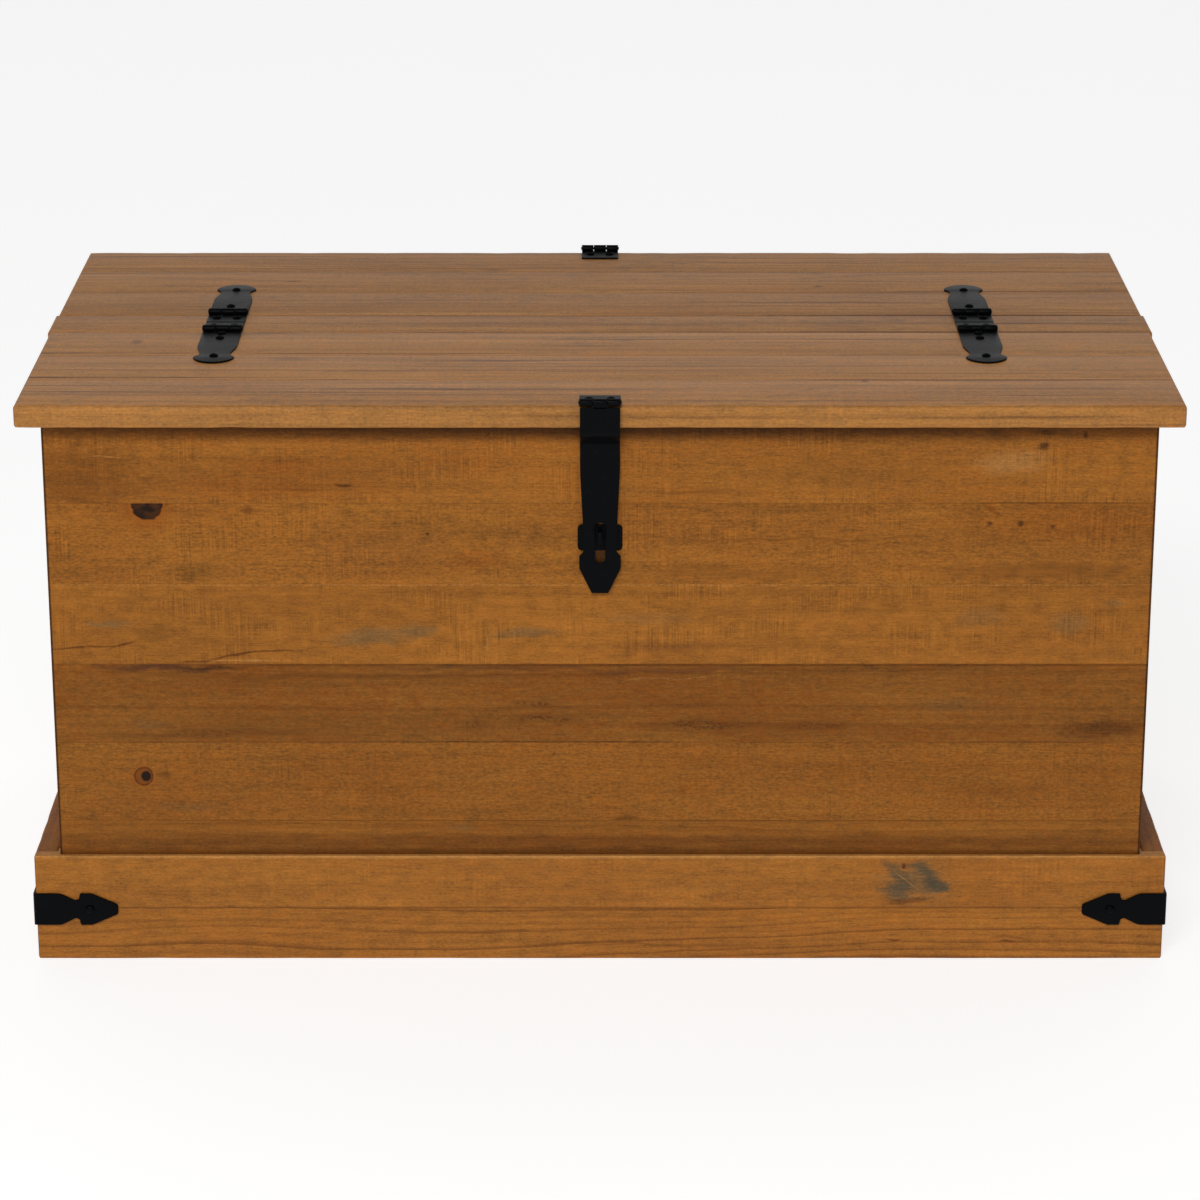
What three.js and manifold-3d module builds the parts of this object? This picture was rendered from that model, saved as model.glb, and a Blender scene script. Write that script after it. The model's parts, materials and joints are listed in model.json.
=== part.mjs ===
// Rustic pine storage chest with two lids on one fixed centre rail.
//
// Frame: millimetres, +Z up, the front faces -Y, +X to the right of someone facing the front.
// The origin is under the middle of the chest, on the floor.
//
// The chest is the same front and rear, so most pieces are made once for the front (side = -1)
// and once for the rear (side = +1), or once per end (end = -1 left, end = +1 right).

import * as THREE from 'three';
import { mergeVertices } from 'three/addons/utils/BufferGeometryUtils.js';
import Module from 'manifold-3d';

const wasm = await Module();
wasm.setup();

// ---------------------------------------------------------------- driving dimensions

const PLINTH_W = 910;          // outside width of the plinth
const PLINTH_D = 463;          // outside depth of the plinth
const PLINTH_H = 90;
const PLINTH_T = 18.5;
const PLINTH_ROUND = 3;
const LIP_T = 9.5;             // thickness of the front board's lip over the side board's end

const BODY_W = 868;            // outside width of the panelled box
const BODY_D = 456;            // outside depth of the panelled box
const PANEL_T = 15;
const PANEL_ROUND = 1;         // on the foot of the front and rear panels

const TOP_Z = 470;             // top face of the lids and the centre rail
const TOP_T = 18;
const TOP_D = 495;             // front edge of the front lid to rear edge of the rear lid
const LID_W = 904;
const RAIL_W = 908;
const RAIL_D = 53;
const SEAM = 1;                // gap between the rail and each lid
const TOP_ROUND = 3;
const SEAM_ROUND = 0.75;

const FLOOR_T = 12;            // bottom panel
const FLOOR_Z = 30;            // underside of the bottom panel
const BEARER = 20;             // bearers are BEARER wide and BEARER_H tall
const BEARER_H = 18;
const CLEAT = 24;              // corner cleats are square
const CLEAT_TOP = 440;

const IRON_T = 1.5;            // sheet of the hinges and hasps
const KNUCKLE_R = 3;
const KNUCKLE_L = 32;          // length of a whole hinge barrel
const KNUCKLE_MID = 10.75;     // length of the middle knuckle
const KNUCKLE_GAP = 0.375;
const AXIS_H = 3.25;           // hinge axis above the wood that the leaf lies on
const PIN_R = 1.125;
const PIN_HOLE_R = 1.5;
const PIN_HEAD_R = 2;
const PIN_HEAD_T = 0.375;
const PIN_HEAD_CHAMFER = 0.25;
const ROUND_STEPS = 24;        // facets round a barrel or pin
const HOLE_STEPS = 12;         // facets round a nail hole
const NAIL_STEPS = 16;         // facets round a nail
const DOME_STEPS = 5;          // facets from a nail's rim to its crown

const HINGE_X = 310;           // strap hinges left and right of the middle
const LEAF_W = 32;
const LEAF_ROUND = 1;
const SHORT_LEAF = 26;         // hinge axis to the end of a leaf
const LONG_LEAF = 97.5;
const LEAF_STRAIGHT = 46;      // hinge axis to where the long leaf starts to narrow
const LEAF_NECK_AT = 73;
const LEAF_NECK_HALF = 12.25;
const LEAF_BARB_AT = 81;       // hinge axis to the tips of the barbs
const LEAF_BARB_HALF = 16.5;

const HASP_OUT = 1;            // hasp axis in front of the lid's edge
const HASP_LEAF = 27;
const STAPLE_GAP = 1.25;       // staple plate to the back of the hanging strap
const STRAP_HALF = 15.5;       // half width of the hanging strap at its top
const STRAP_BEND_Z = 412;      // below here the strap draws in
const STRAP_BEND_ROUND = 60;
const STRAP_MID_Z = 372;
const STRAP_MID_HALF = 13.5;
const STRAP_WAIST_HALF = 13;   // half width just above the notch
const NOTCH_Z = 347;
const SPADE_HALF = 16.25;
const SPADE_TOP_Z = 343.5;
const SPADE_LOW_Z = 333.5;
const STRAP_TIP_Z = 313;
const STRAP_TIP_HALF = 6.5;
const JOGGLE_TOP_Z = 449;
const JOGGLE_END_Z = 433;
const JOGGLE_ROUND_OUT = 3.5;  // on the outside and the inside of each bend of the joggle
const JOGGLE_ROUND_IN = 2;
const SLOT_W = 8;
const SLOT_LOW_Z = 338;
const SLOT_HIGH_Z = 371;
const SLOT_FLAT = 0.25;        // half of the flat left at each end of the slot

const PLATE_W = 35;
const PLATE_LOW_Z = 347.5;
const PLATE_HIGH_Z = 368.5;
const PLATE_ROUND = 3;
const LOOP_T = 3.5;            // thickness of the staple's loop
const LOOP_LOW_Z = 354.5;
const LOOP_HIGH_Z = 366.5;
const LOOP_OUT = 10.5;         // how far the loop stands out from the back of the strap
const LOOP_ROUND_OUT = 4;
const LOOP_ROUND_IN = 2;
const LOOP_ROOT = 0.5;         // the loop starts this far inside the plate

const BRACE_T = 2;             // sheet of the corner braces
const BRACE_ARM = 67;          // plinth corner to the tip of a brace's arm
const BRACE_H = 27;
const BRACE_Z = 44;            // middle of the brace above the floor
const BRACE_BEND = 1.5;        // round on the outside of the bend
const WAIST_HALF = 7.5;
const WAIST_START = 21;        // corner to where an arm narrows, to its waist and to its head
const WAIST_AT = 32.5;
const WAIST_END = 35.5;
const HEAD_AT = 36.5;
const HEAD_END = 46;
const HEAD_TIP_HALF = 4;
const NAIL_IN = 43.5;          // nail to plinth corner
const NAIL_HEAD_R = 3.85;
const NAIL_DOME = 2.5;
const NAIL_R = 1.25;
const NAIL_HOLE_R = 1.6;
const NAIL_L = 14;             // outside of the brace to the nail's point
const NAIL_POINT = 3;
const NAIL_SEAT = 0.25;        // gap under the nail's head

// ---------------------------------------------------------------- derived places

const TOP_UNDER = TOP_Z - TOP_T;
const LID_EDGE = TOP_D / 2;
const SEAM_Y = RAIL_D / 2 + SEAM / 2;
const AXIS_Z = TOP_Z + AXIS_H;
const PANEL_FACE = BODY_D / 2;
const PANEL_BACK = PANEL_FACE - PANEL_T;
const SIDE_FACE = BODY_W / 2;
const SIDE_BACK = SIDE_FACE - PANEL_T;
const FLOOR_TOP = FLOOR_Z + FLOOR_T;
const HASP_Y = LID_EDGE + HASP_OUT;
const STRAP_BACK = PANEL_FACE + IRON_T + STAPLE_GAP;

// ---------------------------------------------------------------- materials

const FINISH = {
  top: { color: 0x9d7959, roughness: 0.62, metalness: 0 },
  body: { color: 0x95602a, roughness: 0.6, metalness: 0 },
  plinth: { color: 0x9c6833, roughness: 0.6, metalness: 0 },
  inner: { color: 0xa98254, roughness: 0.75, metalness: 0 },
  iron: { color: 0x1c1c1e, roughness: 0.45, metalness: 0.6 },
};

// ---------------------------------------------------------------- solids

// A geometry's positions alone, with its shared vertices merged.
function welded(geometry) {
  const bare = geometry.clone();
  bare.deleteAttribute('normal');
  bare.deleteAttribute('uv');
  return mergeVertices(bare, 1e-4);
}

// A closed three.js geometry as a manifold solid.
function solid(geometry) {
  const { attributes, index } = welded(geometry);
  const mesh = new wasm.Mesh({
    numProp: 3,
    vertProperties: new Float32Array(attributes.position.array),
    triVerts: new Uint32Array(index.array),
  });
  return new wasm.Manifold(mesh);
}

// A manifold solid back as a three.js geometry.
function geometryOf(manifold) {
  const mesh = manifold.getMesh();
  const geometry = new THREE.BufferGeometry();
  geometry.setAttribute('position', new THREE.BufferAttribute(mesh.vertProperties, 3));
  geometry.setIndex(new THREE.BufferAttribute(mesh.triVerts, 1));
  geometry.computeVertexNormals();
  return geometry;
}

// Corner points of an outline, each [u, v] or [u, v, radius] for a rounded corner.
function outline(corners, steps = 4) {
  const points = [];
  corners.forEach(([u, v, radius = 0], i) => {
    const corner = new THREE.Vector2(u, v);
    if (radius === 0) {
      points.push(corner);
      return;
    }
    const before = corners[(i + corners.length - 1) % corners.length];
    const after = corners[(i + 1) % corners.length];
    const toBefore = new THREE.Vector2(before[0], before[1]).sub(corner).normalize();
    const toAfter = new THREE.Vector2(after[0], after[1]).sub(corner).normalize();
    const half = Math.acos(toBefore.dot(toAfter)) / 2;
    const reach = radius / Math.tan(half);
    const start = toBefore.clone().multiplyScalar(reach).add(corner);
    const end = toAfter.clone().multiplyScalar(reach).add(corner);
    const centre = toBefore.clone().add(toAfter).normalize();
    centre.multiplyScalar(radius / Math.sin(half)).add(corner);
    const from = Math.atan2(start.y - centre.y, start.x - centre.x);
    let turn = Math.atan2(end.y - centre.y, end.x - centre.x) - from;
    turn = Math.atan2(Math.sin(turn), Math.cos(turn));
    for (let step = 0; step <= steps; step += 1) {
      const angle = from + turn * step / steps;
      const arc = new THREE.Vector2(Math.cos(angle), Math.sin(angle));
      points.push(arc.multiplyScalar(radius).add(centre));
    }
  });
  return new THREE.Shape(points);
}

// An outline in the XY plane given thickness from z = 0 to z = depth.
function slab(shape, depth) {
  return new THREE.ExtrudeGeometry(shape, { depth, bevelEnabled: false, curveSegments: 8 });
}

// An outline drawn as (y, z), given width along X, centred on x = 0.
function slabAlongX(shape, width) {
  const geometry = slab(shape, width);
  geometry.translate(0, 0, -width / 2);
  geometry.applyMatrix4(new THREE.Matrix4().makeBasis(
    new THREE.Vector3(0, 1, 0), new THREE.Vector3(0, 0, 1), new THREE.Vector3(1, 0, 0)));
  return geometry;
}

// An outline drawn as (x, z), given thickness along Y from y = low to y = high.
function slabAlongY(shape, low, high) {
  const geometry = slab(shape, high - low);
  geometry.applyMatrix4(new THREE.Matrix4().makeBasis(
    new THREE.Vector3(1, 0, 0), new THREE.Vector3(0, 0, 1), new THREE.Vector3(0, -1, 0)));
  geometry.translate(0, high, 0);
  return geometry;
}

function box(width, depth, height, x = 0, y = 0, z = 0) {
  return new THREE.BoxGeometry(width, depth, height).translate(x, y, z);
}

// A cylinder along X.
function rod(radius, length, x = 0) {
  const geometry = new THREE.CylinderGeometry(radius, radius, length, ROUND_STEPS);
  return geometry.rotateZ(Math.PI / 2).translate(x, 0, 0);
}

// A rear right piece as its image on another side and end, with its faces still outwards.
function handed(geometry, side, end = 1) {
  const image = welded(geometry).scale(end, side, 1);
  if (side * end < 0) {
    const order = image.index.array;
    for (let i = 0; i < order.length; i += 3) {
      [order[i], order[i + 1]] = [order[i + 1], order[i]];
    }
  }
  image.computeVertexNormals();
  return image;
}

// ---------------------------------------------------------------- scene graph

const chest = new THREE.Group();

function add(name, geometry, finish, x = 0, y = 0, z = 0) {
  const mesh = new THREE.Mesh(geometry, new THREE.MeshStandardMaterial(FINISH[finish]));
  mesh.name = name;
  mesh.position.set(x, y, z);
  chest.add(mesh);
}

const sideName = (side) => (side < 0 ? 'front' : 'rear');
const endName = (end) => (end < 0 ? 'left' : 'right');
const SIDES = [-1, 1];
const ENDS = [-1, 1];

// ---------------------------------------------------------------- woodwork

// A front or rear panel: its outside long edges are barely eased.
function facePanel() {
  const height = TOP_UNDER - PLINTH_H;
  const corners = [
    [-PANEL_T / 2, 0, PANEL_ROUND],
    [PANEL_T / 2, 0, PANEL_ROUND],
    [PANEL_T / 2, height],
    [-PANEL_T / 2, height],
  ];
  return slabAlongX(outline(corners), BODY_W);
}

function buildPanels() {
  for (const side of SIDES) {
    add(`${sideName(side)}_panel`, facePanel(), 'body', 0, side * (PANEL_FACE - PANEL_T / 2), PLINTH_H);
  }
  const height = TOP_UNDER - FLOOR_Z + BEARER_H;
  for (const end of ENDS) {
    const panel = box(PANEL_T, 2 * PANEL_BACK, height);
    add(`${endName(end)}_panel`, panel, 'body', end * (SIDE_FACE - PANEL_T / 2), 0, TOP_UNDER - height / 2);
  }
}

// Section of a plinth board with its top edges rounded, its back at 0.
function plinthSection() {
  return outline([
    [0, 0],
    [PLINTH_T, 0],
    [PLINTH_T, PLINTH_H, PLINTH_ROUND],
    [0, PLINTH_H, PLINTH_ROUND],
  ]);
}

// The rear plinth board, its outside at y = 0: rabbeted at both ends so that a thin lip covers the
// end of each side board, and drilled for the two brace nails.
function plinthFaceBoard() {
  const section = slabAlongX(plinthSection(), PLINTH_W).translate(0, -PLINTH_T, 0);
  let board = solid(section);
  for (const end of ENDS) {
    const rabbetY = -LIP_T - PLINTH_T / 2;
    const rabbet = box(2 * PLINTH_T, PLINTH_T, 3 * PLINTH_H, end * PLINTH_W / 2, rabbetY, 0);
    board = board.subtract(solid(rabbet));
    const hole = nailHole().translate(end * (PLINTH_W / 2 - NAIL_IN), 0, BRACE_Z);
    board = board.subtract(solid(hole));
  }
  return geometryOf(board);
}

// The right plinth board, its outside at x = 0 and its front and rear ends behind the lips.
function plinthSideBoard() {
  const length = PLINTH_D - 2 * LIP_T;
  const section = slabAlongY(plinthSection(), -length / 2, length / 2).translate(-PLINTH_T, 0, 0);
  let board = solid(section);
  for (const side of SIDES) {
    const hole = nailHole().rotateZ(Math.PI / 2).translate(0, side * (PLINTH_D / 2 - NAIL_IN), BRACE_Z);
    board = board.subtract(solid(hole));
  }
  return geometryOf(board);
}

// A cutter for a nail's hole, along Y.
function nailHole() {
  return new THREE.CylinderGeometry(NAIL_HOLE_R, NAIL_HOLE_R, 2 * NAIL_L, HOLE_STEPS);
}

function buildPlinth() {
  for (const side of SIDES) {
    add(`plinth_${sideName(side)}`, handed(plinthFaceBoard(), side), 'plinth', 0, side * PLINTH_D / 2, 0);
  }
  for (const end of ENDS) {
    add(`plinth_${endName(end)}`, handed(plinthSideBoard(), 1, end), 'plinth', end * PLINTH_W / 2, 0, 0);
  }
}

// Bearers round the foot of the box carry the bottom panel; cleats stand on it in the corners.
function buildInside() {
  const bearerZ = FLOOR_Z - BEARER_H / 2;
  for (const side of SIDES) {
    const bearer = box(2 * SIDE_BACK, BEARER, BEARER_H);
    add(`bearer_${sideName(side)}`, bearer, 'inner', 0, side * (PANEL_BACK - BEARER / 2), bearerZ);
  }
  for (const end of ENDS) {
    const bearer = box(BEARER, 2 * (PANEL_BACK - BEARER), BEARER_H);
    add(`bearer_${endName(end)}`, bearer, 'inner', end * (SIDE_BACK - BEARER / 2), 0, bearerZ);
  }
  add('bottom_panel', box(2 * SIDE_BACK, 2 * PANEL_BACK, FLOOR_T), 'inner', 0, 0, FLOOR_Z + FLOOR_T / 2);
  const cleatH = CLEAT_TOP - FLOOR_TOP;
  for (const side of SIDES) {
    for (const end of ENDS) {
      add(`corner_cleat_${sideName(side)}_${endName(end)}`, box(CLEAT, CLEAT, cleatH), 'inner',
        end * (SIDE_BACK - CLEAT / 2), side * (PANEL_BACK - CLEAT / 2), FLOOR_TOP + cleatH / 2);
    }
  }
}

// A lid for the rear, its outer edge rounded and its seam edge barely eased.
function lidBoard() {
  const seam = RAIL_D / 2 + SEAM;
  const corners = [
    [seam, TOP_UNDER, SEAM_ROUND],
    [LID_EDGE, TOP_UNDER, TOP_ROUND],
    [LID_EDGE, TOP_Z, TOP_ROUND],
    [seam, TOP_Z, SEAM_ROUND],
  ];
  return slabAlongX(outline(corners), LID_W);
}

function buildTop() {
  for (const side of SIDES) {
    add(`${sideName(side)}_lid`, handed(lidBoard(), side), 'top');
  }
  const half = RAIL_D / 2;
  const corners = [
    [-half, TOP_UNDER, SEAM_ROUND],
    [half, TOP_UNDER, SEAM_ROUND],
    [half, TOP_Z, SEAM_ROUND],
    [-half, TOP_Z, SEAM_ROUND],
  ];
  add('centre_rail', slabAlongX(outline(corners), RAIL_W), 'top');
}

// ---------------------------------------------------------------- hinges

// Where the knuckles lie along the barrel: [middle x, length] of each.
const MIDDLE_KNUCKLE = [[0, KNUCKLE_MID]];
const OUTER_LENGTH = (KNUCKLE_L - KNUCKLE_MID) / 2 - KNUCKLE_GAP;
const OUTER_X = (KNUCKLE_L - OUTER_LENGTH) / 2;
const OUTER_KNUCKLES = [[-OUTER_X, OUTER_LENGTH], [OUTER_X, OUTER_LENGTH]];

// Joins a leaf to its own knuckles and clears it of the other leaf's, round an axis along X
// through the origin.
function withKnuckles(leaf, own, others) {
  let joined = solid(leaf);
  for (const [x, length] of own) {
    joined = joined.add(solid(rod(KNUCKLE_R, length, x)));
  }
  for (const [x, length] of others) {
    joined = joined.subtract(solid(rod(KNUCKLE_R + KNUCKLE_GAP, length + 2 * KNUCKLE_GAP, x)));
  }
  joined = joined.subtract(solid(rod(PIN_HOLE_R, 2 * KNUCKLE_L)));
  return geometryOf(joined);
}

// The long leaf of a strap hinge, running along +Y from the axis: straight, drawn in to a neck,
// out to two barbs, and closed by a bowed end.
function longLeaf() {
  const half = LEAF_W / 2;
  const draw = (LEAF_NECK_AT - LEAF_STRAIGHT) / 3;
  const bow = LONG_LEAF - LEAF_BARB_AT;
  const shape = new THREE.Shape();
  shape.moveTo(half, 0);
  shape.lineTo(half, LEAF_STRAIGHT);
  shape.bezierCurveTo(half, LEAF_STRAIGHT + draw, LEAF_NECK_HALF, LEAF_NECK_AT - draw,
    LEAF_NECK_HALF, LEAF_NECK_AT);
  shape.lineTo(LEAF_BARB_HALF, LEAF_BARB_AT);
  shape.bezierCurveTo(LEAF_BARB_HALF, LEAF_BARB_AT + bow / 2, LEAF_BARB_HALF / 2, LONG_LEAF,
    0, LONG_LEAF);
  shape.bezierCurveTo(-LEAF_BARB_HALF / 2, LONG_LEAF, -LEAF_BARB_HALF, LEAF_BARB_AT + bow / 2,
    -LEAF_BARB_HALF, LEAF_BARB_AT);
  shape.lineTo(-LEAF_NECK_HALF, LEAF_NECK_AT);
  shape.bezierCurveTo(-LEAF_NECK_HALF, LEAF_NECK_AT - draw, -half, LEAF_STRAIGHT + draw,
    -half, LEAF_STRAIGHT);
  shape.lineTo(-half, 0);
  const leaf = slab(shape, IRON_T).translate(0, 0, -AXIS_H);
  return withKnuckles(leaf, OUTER_KNUCKLES, MIDDLE_KNUCKLE);
}

// A plain short leaf of the given reach along +Y, with the knuckles it is told to carry.
function shortLeaf(reach, own, others) {
  const half = LEAF_W / 2;
  const corners = [[half, 0], [half, reach, LEAF_ROUND], [-half, reach, LEAF_ROUND], [-half, 0]];
  const leaf = slab(outline(corners), IRON_T).translate(0, 0, -AXIS_H);
  return withKnuckles(leaf, own, others);
}

// A hinge pin with a low rivet head at each end.
function hingePin() {
  const end = KNUCKLE_L / 2 + KNUCKLE_GAP;
  const tip = end + PIN_HEAD_T;
  const crown = PIN_HEAD_R - PIN_HEAD_CHAMFER;
  const profile = [
    [0, -tip],
    [crown, -tip],
    [PIN_HEAD_R, -end],
    [PIN_R, -end],
    [PIN_R, end],
    [PIN_HEAD_R, end],
    [crown, tip],
    [0, tip],
  ].map(([radius, along]) => new THREE.Vector2(radius, along));
  return new THREE.LatheGeometry(profile, ROUND_STEPS).rotateZ(Math.PI / 2);
}

// Each hinge pair: two strap hinges back to back, their short leaves meeting on the rail.
function buildHinges() {
  const long = longLeaf();
  const short = shortLeaf(SHORT_LEAF, MIDDLE_KNUCKLE, OUTER_KNUCKLES);
  for (const side of SIDES) {
    for (const end of ENDS) {
      const at = [end * HINGE_X, side * SEAM_Y, AXIS_Z];
      const name = `${sideName(side)}_${endName(end)}`;
      add(`hinge_long_leaf_${name}`, handed(long, side), 'iron', ...at);
      add(`hinge_short_leaf_${name}`, handed(short, -side), 'iron', ...at);
      add(`hinge_pin_${name}`, hingePin(), 'iron', ...at);
    }
  }
}

// ---------------------------------------------------------------- hasps

// Side view of the hasp strap, (y, z) about the hasp axis, for the rear: down in front of the
// lid's edge, in under the lid, and down close to the panel.
function strapSide() {
  const outer = KNUCKLE_R;
  const inner = STRAP_BACK - HASP_Y;
  const top = JOGGLE_TOP_Z - AXIS_Z;
  const low = JOGGLE_END_Z - AXIS_Z;
  const tip = STRAP_TIP_Z - AXIS_Z;
  return outline([
    [outer, 0],
    [outer, top - IRON_T / 2, JOGGLE_ROUND_OUT],
    [inner + IRON_T, low - IRON_T / 2, JOGGLE_ROUND_IN],
    [inner + IRON_T, tip],
    [inner, tip],
    [inner, low, JOGGLE_ROUND_OUT],
    [outer - IRON_T, top, JOGGLE_ROUND_IN],
    [outer - IRON_T, 0],
  ]);
}

// Front view of the strap, (x, z) about the hasp axis: nearly straight, then a notch and a spade.
function strapFront() {
  const right = [
    [STRAP_HALF, 0],
    [STRAP_HALF, STRAP_BEND_Z - AXIS_Z, STRAP_BEND_ROUND],
    [STRAP_MID_HALF, STRAP_MID_Z - AXIS_Z],
    [STRAP_WAIST_HALF, NOTCH_Z - AXIS_Z, 1.5],
    [SPADE_HALF, SPADE_TOP_Z - AXIS_Z, 2.5],
    [SPADE_HALF, SPADE_LOW_Z - AXIS_Z, 4],
    [STRAP_TIP_HALF, STRAP_TIP_Z - AXIS_Z, 1],
  ];
  const left = right.map(([x, z, radius = 0]) => [-x, z, radius]).reverse();
  return outline([...right, ...left]);
}

// The strap's slot, (x, z) about the hasp axis, with round ends.
function strapSlot() {
  const half = SLOT_W / 2;
  const low = SLOT_LOW_Z - AXIS_Z;
  const high = SLOT_HIGH_Z - AXIS_Z;
  const round = half - SLOT_FLAT;
  return outline([[-half, low, round], [half, low, round], [half, high, round], [-half, high, round]]);
}

// The strap is its side view, cut to its front view, slotted and given its knuckle.
function haspStrap() {
  const reach = 2 * STRAP_HALF;
  const across = solid(slabAlongX(strapSide(), KNUCKLE_L));
  const faced = across.intersect(solid(slabAlongY(strapFront(), -reach, reach)));
  const slotted = faced.subtract(solid(slabAlongY(strapSlot(), -reach, reach)));
  return withKnuckles(geometryOf(slotted), MIDDLE_KNUCKLE, OUTER_KNUCKLES);
}

// Staple plate with its loop, for the rear: y from the panel's face outwards, z from the floor.
function staplePlate() {
  const half = PLATE_W / 2;
  const plate = outline([
    [-half, PLATE_LOW_Z, PLATE_ROUND],
    [half, PLATE_LOW_Z, PLATE_ROUND],
    [half, PLATE_HIGH_Z, PLATE_ROUND],
    [-half, PLATE_HIGH_Z, PLATE_ROUND],
  ]);
  const tip = IRON_T + STAPLE_GAP + LOOP_OUT;
  const loop = outline([
    [LOOP_ROOT, LOOP_LOW_Z],
    [tip, LOOP_LOW_Z, LOOP_ROUND_OUT],
    [tip, LOOP_HIGH_Z, LOOP_ROUND_OUT],
    [LOOP_ROOT, LOOP_HIGH_Z],
  ]);
  const eye = outline([
    [IRON_T, LOOP_LOW_Z + LOOP_T],
    [tip - LOOP_T, LOOP_LOW_Z + LOOP_T, LOOP_ROUND_IN],
    [tip - LOOP_T, LOOP_HIGH_Z - LOOP_T, LOOP_ROUND_IN],
    [IRON_T, LOOP_HIGH_Z - LOOP_T],
  ]);
  const ring = solid(slabAlongX(loop, LOOP_T)).subtract(solid(slabAlongX(eye, 2 * LOOP_T)));
  return geometryOf(solid(slabAlongY(plate, 0, IRON_T)).add(ring));
}

function buildHasps() {
  const leaf = shortLeaf(HASP_LEAF, OUTER_KNUCKLES, MIDDLE_KNUCKLE);
  const strap = haspStrap();
  const staple = staplePlate();
  for (const side of SIDES) {
    const name = sideName(side);
    const at = [0, side * HASP_Y, AXIS_Z];
    add(`hasp_leaf_${name}`, handed(leaf, -side), 'iron', ...at);
    add(`hasp_strap_${name}`, handed(strap, side), 'iron', ...at);
    add(`hasp_pin_${name}`, hingePin(), 'iron', ...at);
    add(`hasp_staple_${name}`, handed(staple, side), 'iron', 0, side * PANEL_FACE, 0);
  }
}

// ---------------------------------------------------------------- corner braces

// One arm of a brace, (distance from the corner, height): strap, waist, then a pointed head.
function braceArm() {
  const half = BRACE_H / 2;
  const upper = [
    [-BRACE_T, half],
    [WAIST_START, half, 14],
    [WAIST_AT, WAIST_HALF, 2],
    [WAIST_END, WAIST_HALF + 1, 1],
    [HEAD_AT, half, 1],
    [HEAD_END, half, 5],
    [BRACE_ARM, HEAD_TIP_HALF, 2.5],
  ];
  const lower = upper.map(([u, v, radius = 0]) => [u, -v, radius]).reverse();
  return outline([...upper, ...lower]);
}

// A whole brace for the rear right corner, about that corner of the plinth at its own height.
function cornerBrace() {
  const faceArm = slab(braceArm(), BRACE_T).applyMatrix4(new THREE.Matrix4().makeBasis(
    new THREE.Vector3(-1, 0, 0), new THREE.Vector3(0, 0, 1), new THREE.Vector3(0, 1, 0)));
  const endArm = faceArm.clone().applyMatrix4(new THREE.Matrix4().makeBasis(
    new THREE.Vector3(0, 1, 0), new THREE.Vector3(1, 0, 0), new THREE.Vector3(0, 0, -1)));
  const square = solid(faceArm).add(solid(endArm));
  const inside = -2 * BRACE_ARM;
  const outside = BRACE_T;
  const bend = outline([
    [inside, inside],
    [outside, inside],
    [outside, outside, BRACE_BEND],
    [inside, outside],
  ]);
  const rounded = square.intersect(solid(slab(bend, 2 * BRACE_H).translate(0, 0, -BRACE_H)));
  const faceHole = nailHole().translate(-NAIL_IN, 0, 0);
  const endHole = nailHole().rotateZ(Math.PI / 2).translate(0, -NAIL_IN, 0);
  return geometryOf(rounded.subtract(solid(faceHole)).subtract(solid(endHole)));
}

// A domed nail along +Y: the head's flat at y = 0, the dome outwards, the shank inwards.
function braceNail() {
  const point = BRACE_T - NAIL_L;
  const profile = [
    new THREE.Vector2(0, point),
    new THREE.Vector2(NAIL_R, point + NAIL_POINT),
    new THREE.Vector2(NAIL_R, 0),
  ];
  for (let step = 0; step < DOME_STEPS; step += 1) {
    const angle = step / DOME_STEPS * Math.PI / 2;
    profile.push(new THREE.Vector2(NAIL_HEAD_R * Math.cos(angle), NAIL_DOME * Math.sin(angle)));
  }
  profile.push(new THREE.Vector2(0, NAIL_DOME));
  return new THREE.LatheGeometry(profile, NAIL_STEPS);
}

function buildBraces() {
  const brace = cornerBrace();
  const out = BRACE_T + NAIL_SEAT;
  for (const side of SIDES) {
    for (const end of ENDS) {
      const name = `${sideName(side)}_${endName(end)}`;
      add(`corner_brace_${name}`, handed(brace, side, end), 'iron',
        end * PLINTH_W / 2, side * PLINTH_D / 2, BRACE_Z);
      const faceNail = braceNail().rotateX(side < 0 ? Math.PI : 0);
      add(`brace_nail_${name}_face`, faceNail, 'iron',
        end * (PLINTH_W / 2 - NAIL_IN), side * (PLINTH_D / 2 + out), BRACE_Z);
      const endNail = braceNail().rotateZ(-end * Math.PI / 2);
      add(`brace_nail_${name}_end`, endNail, 'iron',
        end * (PLINTH_W / 2 + out), side * (PLINTH_D / 2 - NAIL_IN), BRACE_Z);
    }
  }
}

buildPanels();
buildPlinth();
buildInside();
buildTop();
buildHinges();
buildHasps();
buildBraces();

export default chest;
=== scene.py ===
# Looks of the rustic pine chest: every board is its own stave with its own grain, and the ironwork is
# bent sheet with eased edges, rolled knuckles and domed screws. Lengths are in metres, and those of
# marks in the wood in millimetres.
import json
import math
import random
from dataclasses import dataclass

import bmesh
import bpy
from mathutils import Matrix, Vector, noise


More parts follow.
